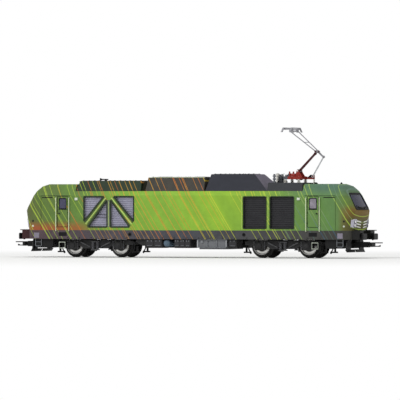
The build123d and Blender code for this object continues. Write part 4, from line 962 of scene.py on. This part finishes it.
def pantograph_trim():
    """Base springs, clamps and bolts, caps on the joints, collar of the lower arm, gusset at the rod."""
    coils = Trim("panto_springs", "spring", "panto_grey")
    clamps = Trim("panto_clamps", "steel", "panto_red")
    caps = Trim("panto_pin_caps", "steel", "panto_red")
    elbow = Trim("panto_elbow_caps", "maroon", "panto_grey", body="panto_upper_arm")
    collar = Trim("panto_arm_collar", "maroon", "panto_red", body="panto_lower_arm")
    gusset = Trim("panto_gusset", "black", "black_fitting", 0.05)
    spring_y, spring_z = 4.6, 49.9
    clamp_xs = (60.4, 67.6)
    foot_pin, elbow_pin, rod_pin = (68.1, 53.6), (79.8, 65.7), (83.2, 62.4)
    for side in SIDES:
        y = side * spring_y
        out = (0, side, 0)
        coils.spring((61.2, y, spring_z), (66.6, y, spring_z), 0.45, 0.13, 8)
        coils.rod([(x, y, spring_z) for x in (60.4, 63.0, 67.6)], 0.14)
        for x in clamp_xs:
            clamps.box((x, y, 49.7), (0.5, 1.3, 1.0))
        for x in (61.0, 65.4, 70.0):
            clamps.bolt((x, side * 6.0, 50.3), UP, 0.26)
        x, z = foot_pin
        caps.turned((x, side * 3.25, z), out, [(0, 0.62), (0.3, 0.62), (0.42, 0.4)], 12)
        x, z = elbow_pin
        elbow.turned((x, side * 3.2, z), out, [(0, 0.6), (0.35, 0.6), (0.45, 0.4)], 12)
    x, z = rod_pin
    elbow.turned((x, 1.6, z), (0, 1, 0), [(0, 0.55), (0.15, 0.55), (0.2, 0.4)], 12)
    arm_run = (elbow_pin[0] - foot_pin[0], 0, elbow_pin[1] - foot_pin[1])
    collar.turned((77.7, 0, 63.5), arm_run, [(0, 0.5), (1.0, 0.92), (1.6, 0.92), (1.9, 0.6)], 14)
    outline = ((72.0, 49.5), (75.4, 49.5), (75.4, 51.4), (74.2, 51.4))
    gusset.loft([[(x, y, z) for x, z in outline] for y in (2.95, 3.65)])


def bellows_trim():
    """Bellows between the rear and the middle roof section."""
    bellows = Trim("roof_bellows", "bellows", "roof_dark")
    first_x, pitch, rise, fold_low = -31.2, 0.9, 0.4, 41.6
    # Fold of the bellows: X from its middle, half width below, half width above, height above
    fold_rows = ((-0.4, 12.9, 10.4, 46.4), (0.0, 13.4, 10.8, 46.9), (0.45, 12.9, 10.4, 46.4))
    for k in range(4):
        x = first_x + pitch * k
        rings = []
        for dx, low_half, high_half, high in fold_rows:
            top = high + rise * k
            ring = ((low_half, fold_low), (high_half, top), (-high_half, top), (-low_half, fold_low))
            rings.append([(x + dx, y, z) for y, z in ring])
        bellows.loft(rings)


def switch_trim():
    """Ribs of the switch gear on the roof, and the white bushing beside it."""
    ribs = Trim("switch_ribs", "gear", "gear_grey")
    bushing = Trim("roof_bushing", "white", "insulator_white")
    gear_x, gear_z, rib_pitch = 57.0, 46.5, 0.8
    rib = [(0, 1.5), (0.12, 1.9), (0.3, 1.9), (0.42, 1.5)]
    for y, height in ((-2.5, 4.6), (2.5, 3.4)):
        for k in range(int(height / rib_pitch)):
            ribs.turned((gear_x, y, gear_z + 0.5 + rib_pitch * k), UP, rib, 20)
        ribs.turned((gear_x, y, gear_z + height), UP, [(0, 1.2), (0.3, 1.1), (0.5, 0.6)])
    bushing_x, bushing_y, shed_pitch, cap_z = 54.4, -1.2, 0.9, 51.8
    shed = [(0, 0.9), (0.25, 1.35), (0.5, 1.35), (0.95, 0.9)]
    for k in range(6):
        bushing.turned((bushing_x, bushing_y, gear_z + shed_pitch * k), UP, shed, 20)
    bushing.turned((bushing_x, bushing_y, cap_z), UP, [(0, 0.8), (0.4, 0.8), (0.55, 0.4)])


def housing_trim():
    """Spring housing of the pantograph with its cheeks."""
    housing = Trim("panto_housing", "red", "panto_red", 0.1)
    # Cover: first X, last X, half width, height
    cover = ((60.9, 66.2, 3.2, 51.1), (61.9, 66.0, 2.8, 52.2))
    housing.loft([[(a, -y, z), (b, -y, z), (b, y, z), (a, y, z)] for a, b, y, z in cover])
    cheek = ((66.5, 49.4), (70.9, 49.4), (70.9, 50.2), (68.9, 53.2), (67.3, 53.2))
    for side in SIDES:
        housing.loft([[(x, side * y, z) for x, z in cheek] for y in (2.7, 3.15)])


def pocket_trim():
    """Dark plates of painted shade in the step pockets of the sills below the doors."""
    pockets = Trim("sill_pockets", "rubber", "black_fitting")
    for end, side in CORNERS:
        # Painted shade inside each step pocket
        pockets.box((end * DOOR, side * 17.2, 14.5), (5.4, 0.3, 2.4))


def guard_trim():
    """Guard plates under the headstocks."""
    guards = Trim("guard_plates", "bogie", "black_fitting", 0.06)
    rear_x, front_x = 104.1, 104.9
    # |Y| and height of the plate's corners
    outline = ((7.6, 11.4), (7.6, 6.4), (8.6, 5.4), (15.3, 5.4), (15.3, 9.6), (13.6, 11.4))
    for end, side in CORNERS:
        guards.loft([[(end * x, side * y, z) for y, z in outline] for x in (rear_x, front_x)])
        for y in (8.6, 11.4, 14.2):
            guards.bolt((end * front_x, side * y, 8.6), (end, 0, 0), 0.3)


def nozzle_trim(body, end):
    """Sand nozzles of one bogie and their brackets beside the wheels."""
    nozzles = Trim(body + "_nozzles", "black", "bogie_black", 0.06, body)
    pipe_reach, pipe_y = 24.6, 8.6
    spout = [(0, 0.6), (1.2, 0.6), (1.5, 0.45)]
    for way in (-1, 1):
        x = end * PIVOT + way * pipe_reach
        for side in SIDES:
            y = side * pipe_y
            nozzles.box((x + way * 0.7, y, 3.5), (4.6, 1.6, 0.9))
            nozzles.box((x + way * 1.4, y, 5.4), (1.0, 1.2, 3.6))
            nozzles.turned((x - way * 0.9, y, 3.9), (-way * 0.5, 0, -0.87), spout, 12)


windscreen_trim()
nose_trim()
door_trim()
wall_trim()
sill_trim()
roof_trim()
for body, end in BOGIES:
    bogie_trim(body, end)
underframe_trim()
pantograph_trim()
bellows_trim()
switch_trim()
housing_trim()
pocket_trim()
guard_trim()
for body, end in BOGIES:
    nozzle_trim(body, end)
for piece in Trim.pieces:
    piece.close()


# Stage, in metres except for the floor's fade
def floor():
    """Pale floor that fades into a white backdrop."""
    fade_start, fade_end = 160.0, 500.0
    half_size = 1.6
    shade = Shade("floor")
    shade.finish(srgb(243, 243, 242), 0.8, mottle=0.015, bump=0.02, scale=400.0)
    x, y, _ = shade.axes()
    white = shade.node("ShaderNodeEmission")
    blend = shade.node("ShaderNodeMixShader")
    shade.feed(blend.inputs[0], shade.span(shade.distance(x, y), fade_start, fade_end))
    shade.feed(blend.inputs[1], shade.shader.outputs[0])
    shade.feed(blend.inputs[2], white.outputs[0])
    shade.feed(shade.tree.nodes["Material Output"].inputs["Surface"], blend.outputs[0])
    mesh = bpy.data.meshes.new("floor")
    bm = bmesh.new()
    bmesh.ops.create_grid(bm, x_segments=8, y_segments=8, size=half_size)
    bm.to_mesh(mesh)
    bm.free()
    made = bpy.data.objects.new("floor", mesh)
    mesh.materials.append(shade.material)
    scene.collection.objects.link(made)


def world():
    """White studio that looks brighter to the camera than it lights the model."""
    light_level, seen_level = 0.55, 1.0
    made = bpy.data.worlds.new("studio")
    made.use_nodes = True
    scene.world = made
    tree = made.node_tree
    back = tree.nodes["Background"]
    back.inputs["Color"].default_value = (1, 1, 1, 1)
    path = tree.nodes.new("ShaderNodeLightPath")
    seen = tree.nodes.new("ShaderNodeMath")
    seen.operation = "MAXIMUM"
    tree.links.new(path.outputs["Is Camera Ray"], seen.inputs[0])
    tree.links.new(path.outputs["Is Transmission Ray"], seen.inputs[1])
    level = tree.nodes.new("ShaderNodeMapRange")
    level.inputs["To Min"].default_value = light_level
    level.inputs["To Max"].default_value = seen_level
    tree.links.new(seen.outputs[0], level.inputs["Value"])
    tree.links.new(level.outputs["Result"], back.inputs["Strength"])


def lamp(name, place, aim, size, power):
    """Round soft lamp."""
    data = bpy.data.lights.new(name, "AREA")
    data.shape = "DISK"
    data.size = size
    data.energy = power
    made = bpy.data.objects.new(name, data)
    made.location = place
    made.rotation_euler = (Vector(aim) - Vector(place)).to_track_quat("-Z", "Y").to_euler()
    scene.collection.objects.link(made)


def camera():
    """Level long-lens view of the near side, turned towards the front end."""
    turn = math.radians(21.5)
    distance = 3.1
    aim_right, aim_up = 2.0 * MM, 35.8 * MM
    right = Vector((math.cos(turn), math.sin(turn), 0))
    target = right * aim_right + Vector((0, 0, aim_up))
    data = bpy.data.cameras.new("camera")
    data.lens = 448.4
    data.sensor_width = 36.0
    data.clip_end = 50.0
    made = bpy.data.objects.new("camera", data)
    made.location = target + distance * Vector((math.sin(turn), -math.cos(turn), 0))
    made.rotation_euler = (math.radians(90), 0, turn)
    scene.collection.objects.link(made)
    scene.camera = made


floor()
world()
lamp("key", (-0.9, -1.7, 1.5), (0, 0, 0.03), 1.2, 22)
lamp("top", (0.3, 0.2, 2.0), (0, 0, 0.04), 1.4, 12)
camera()
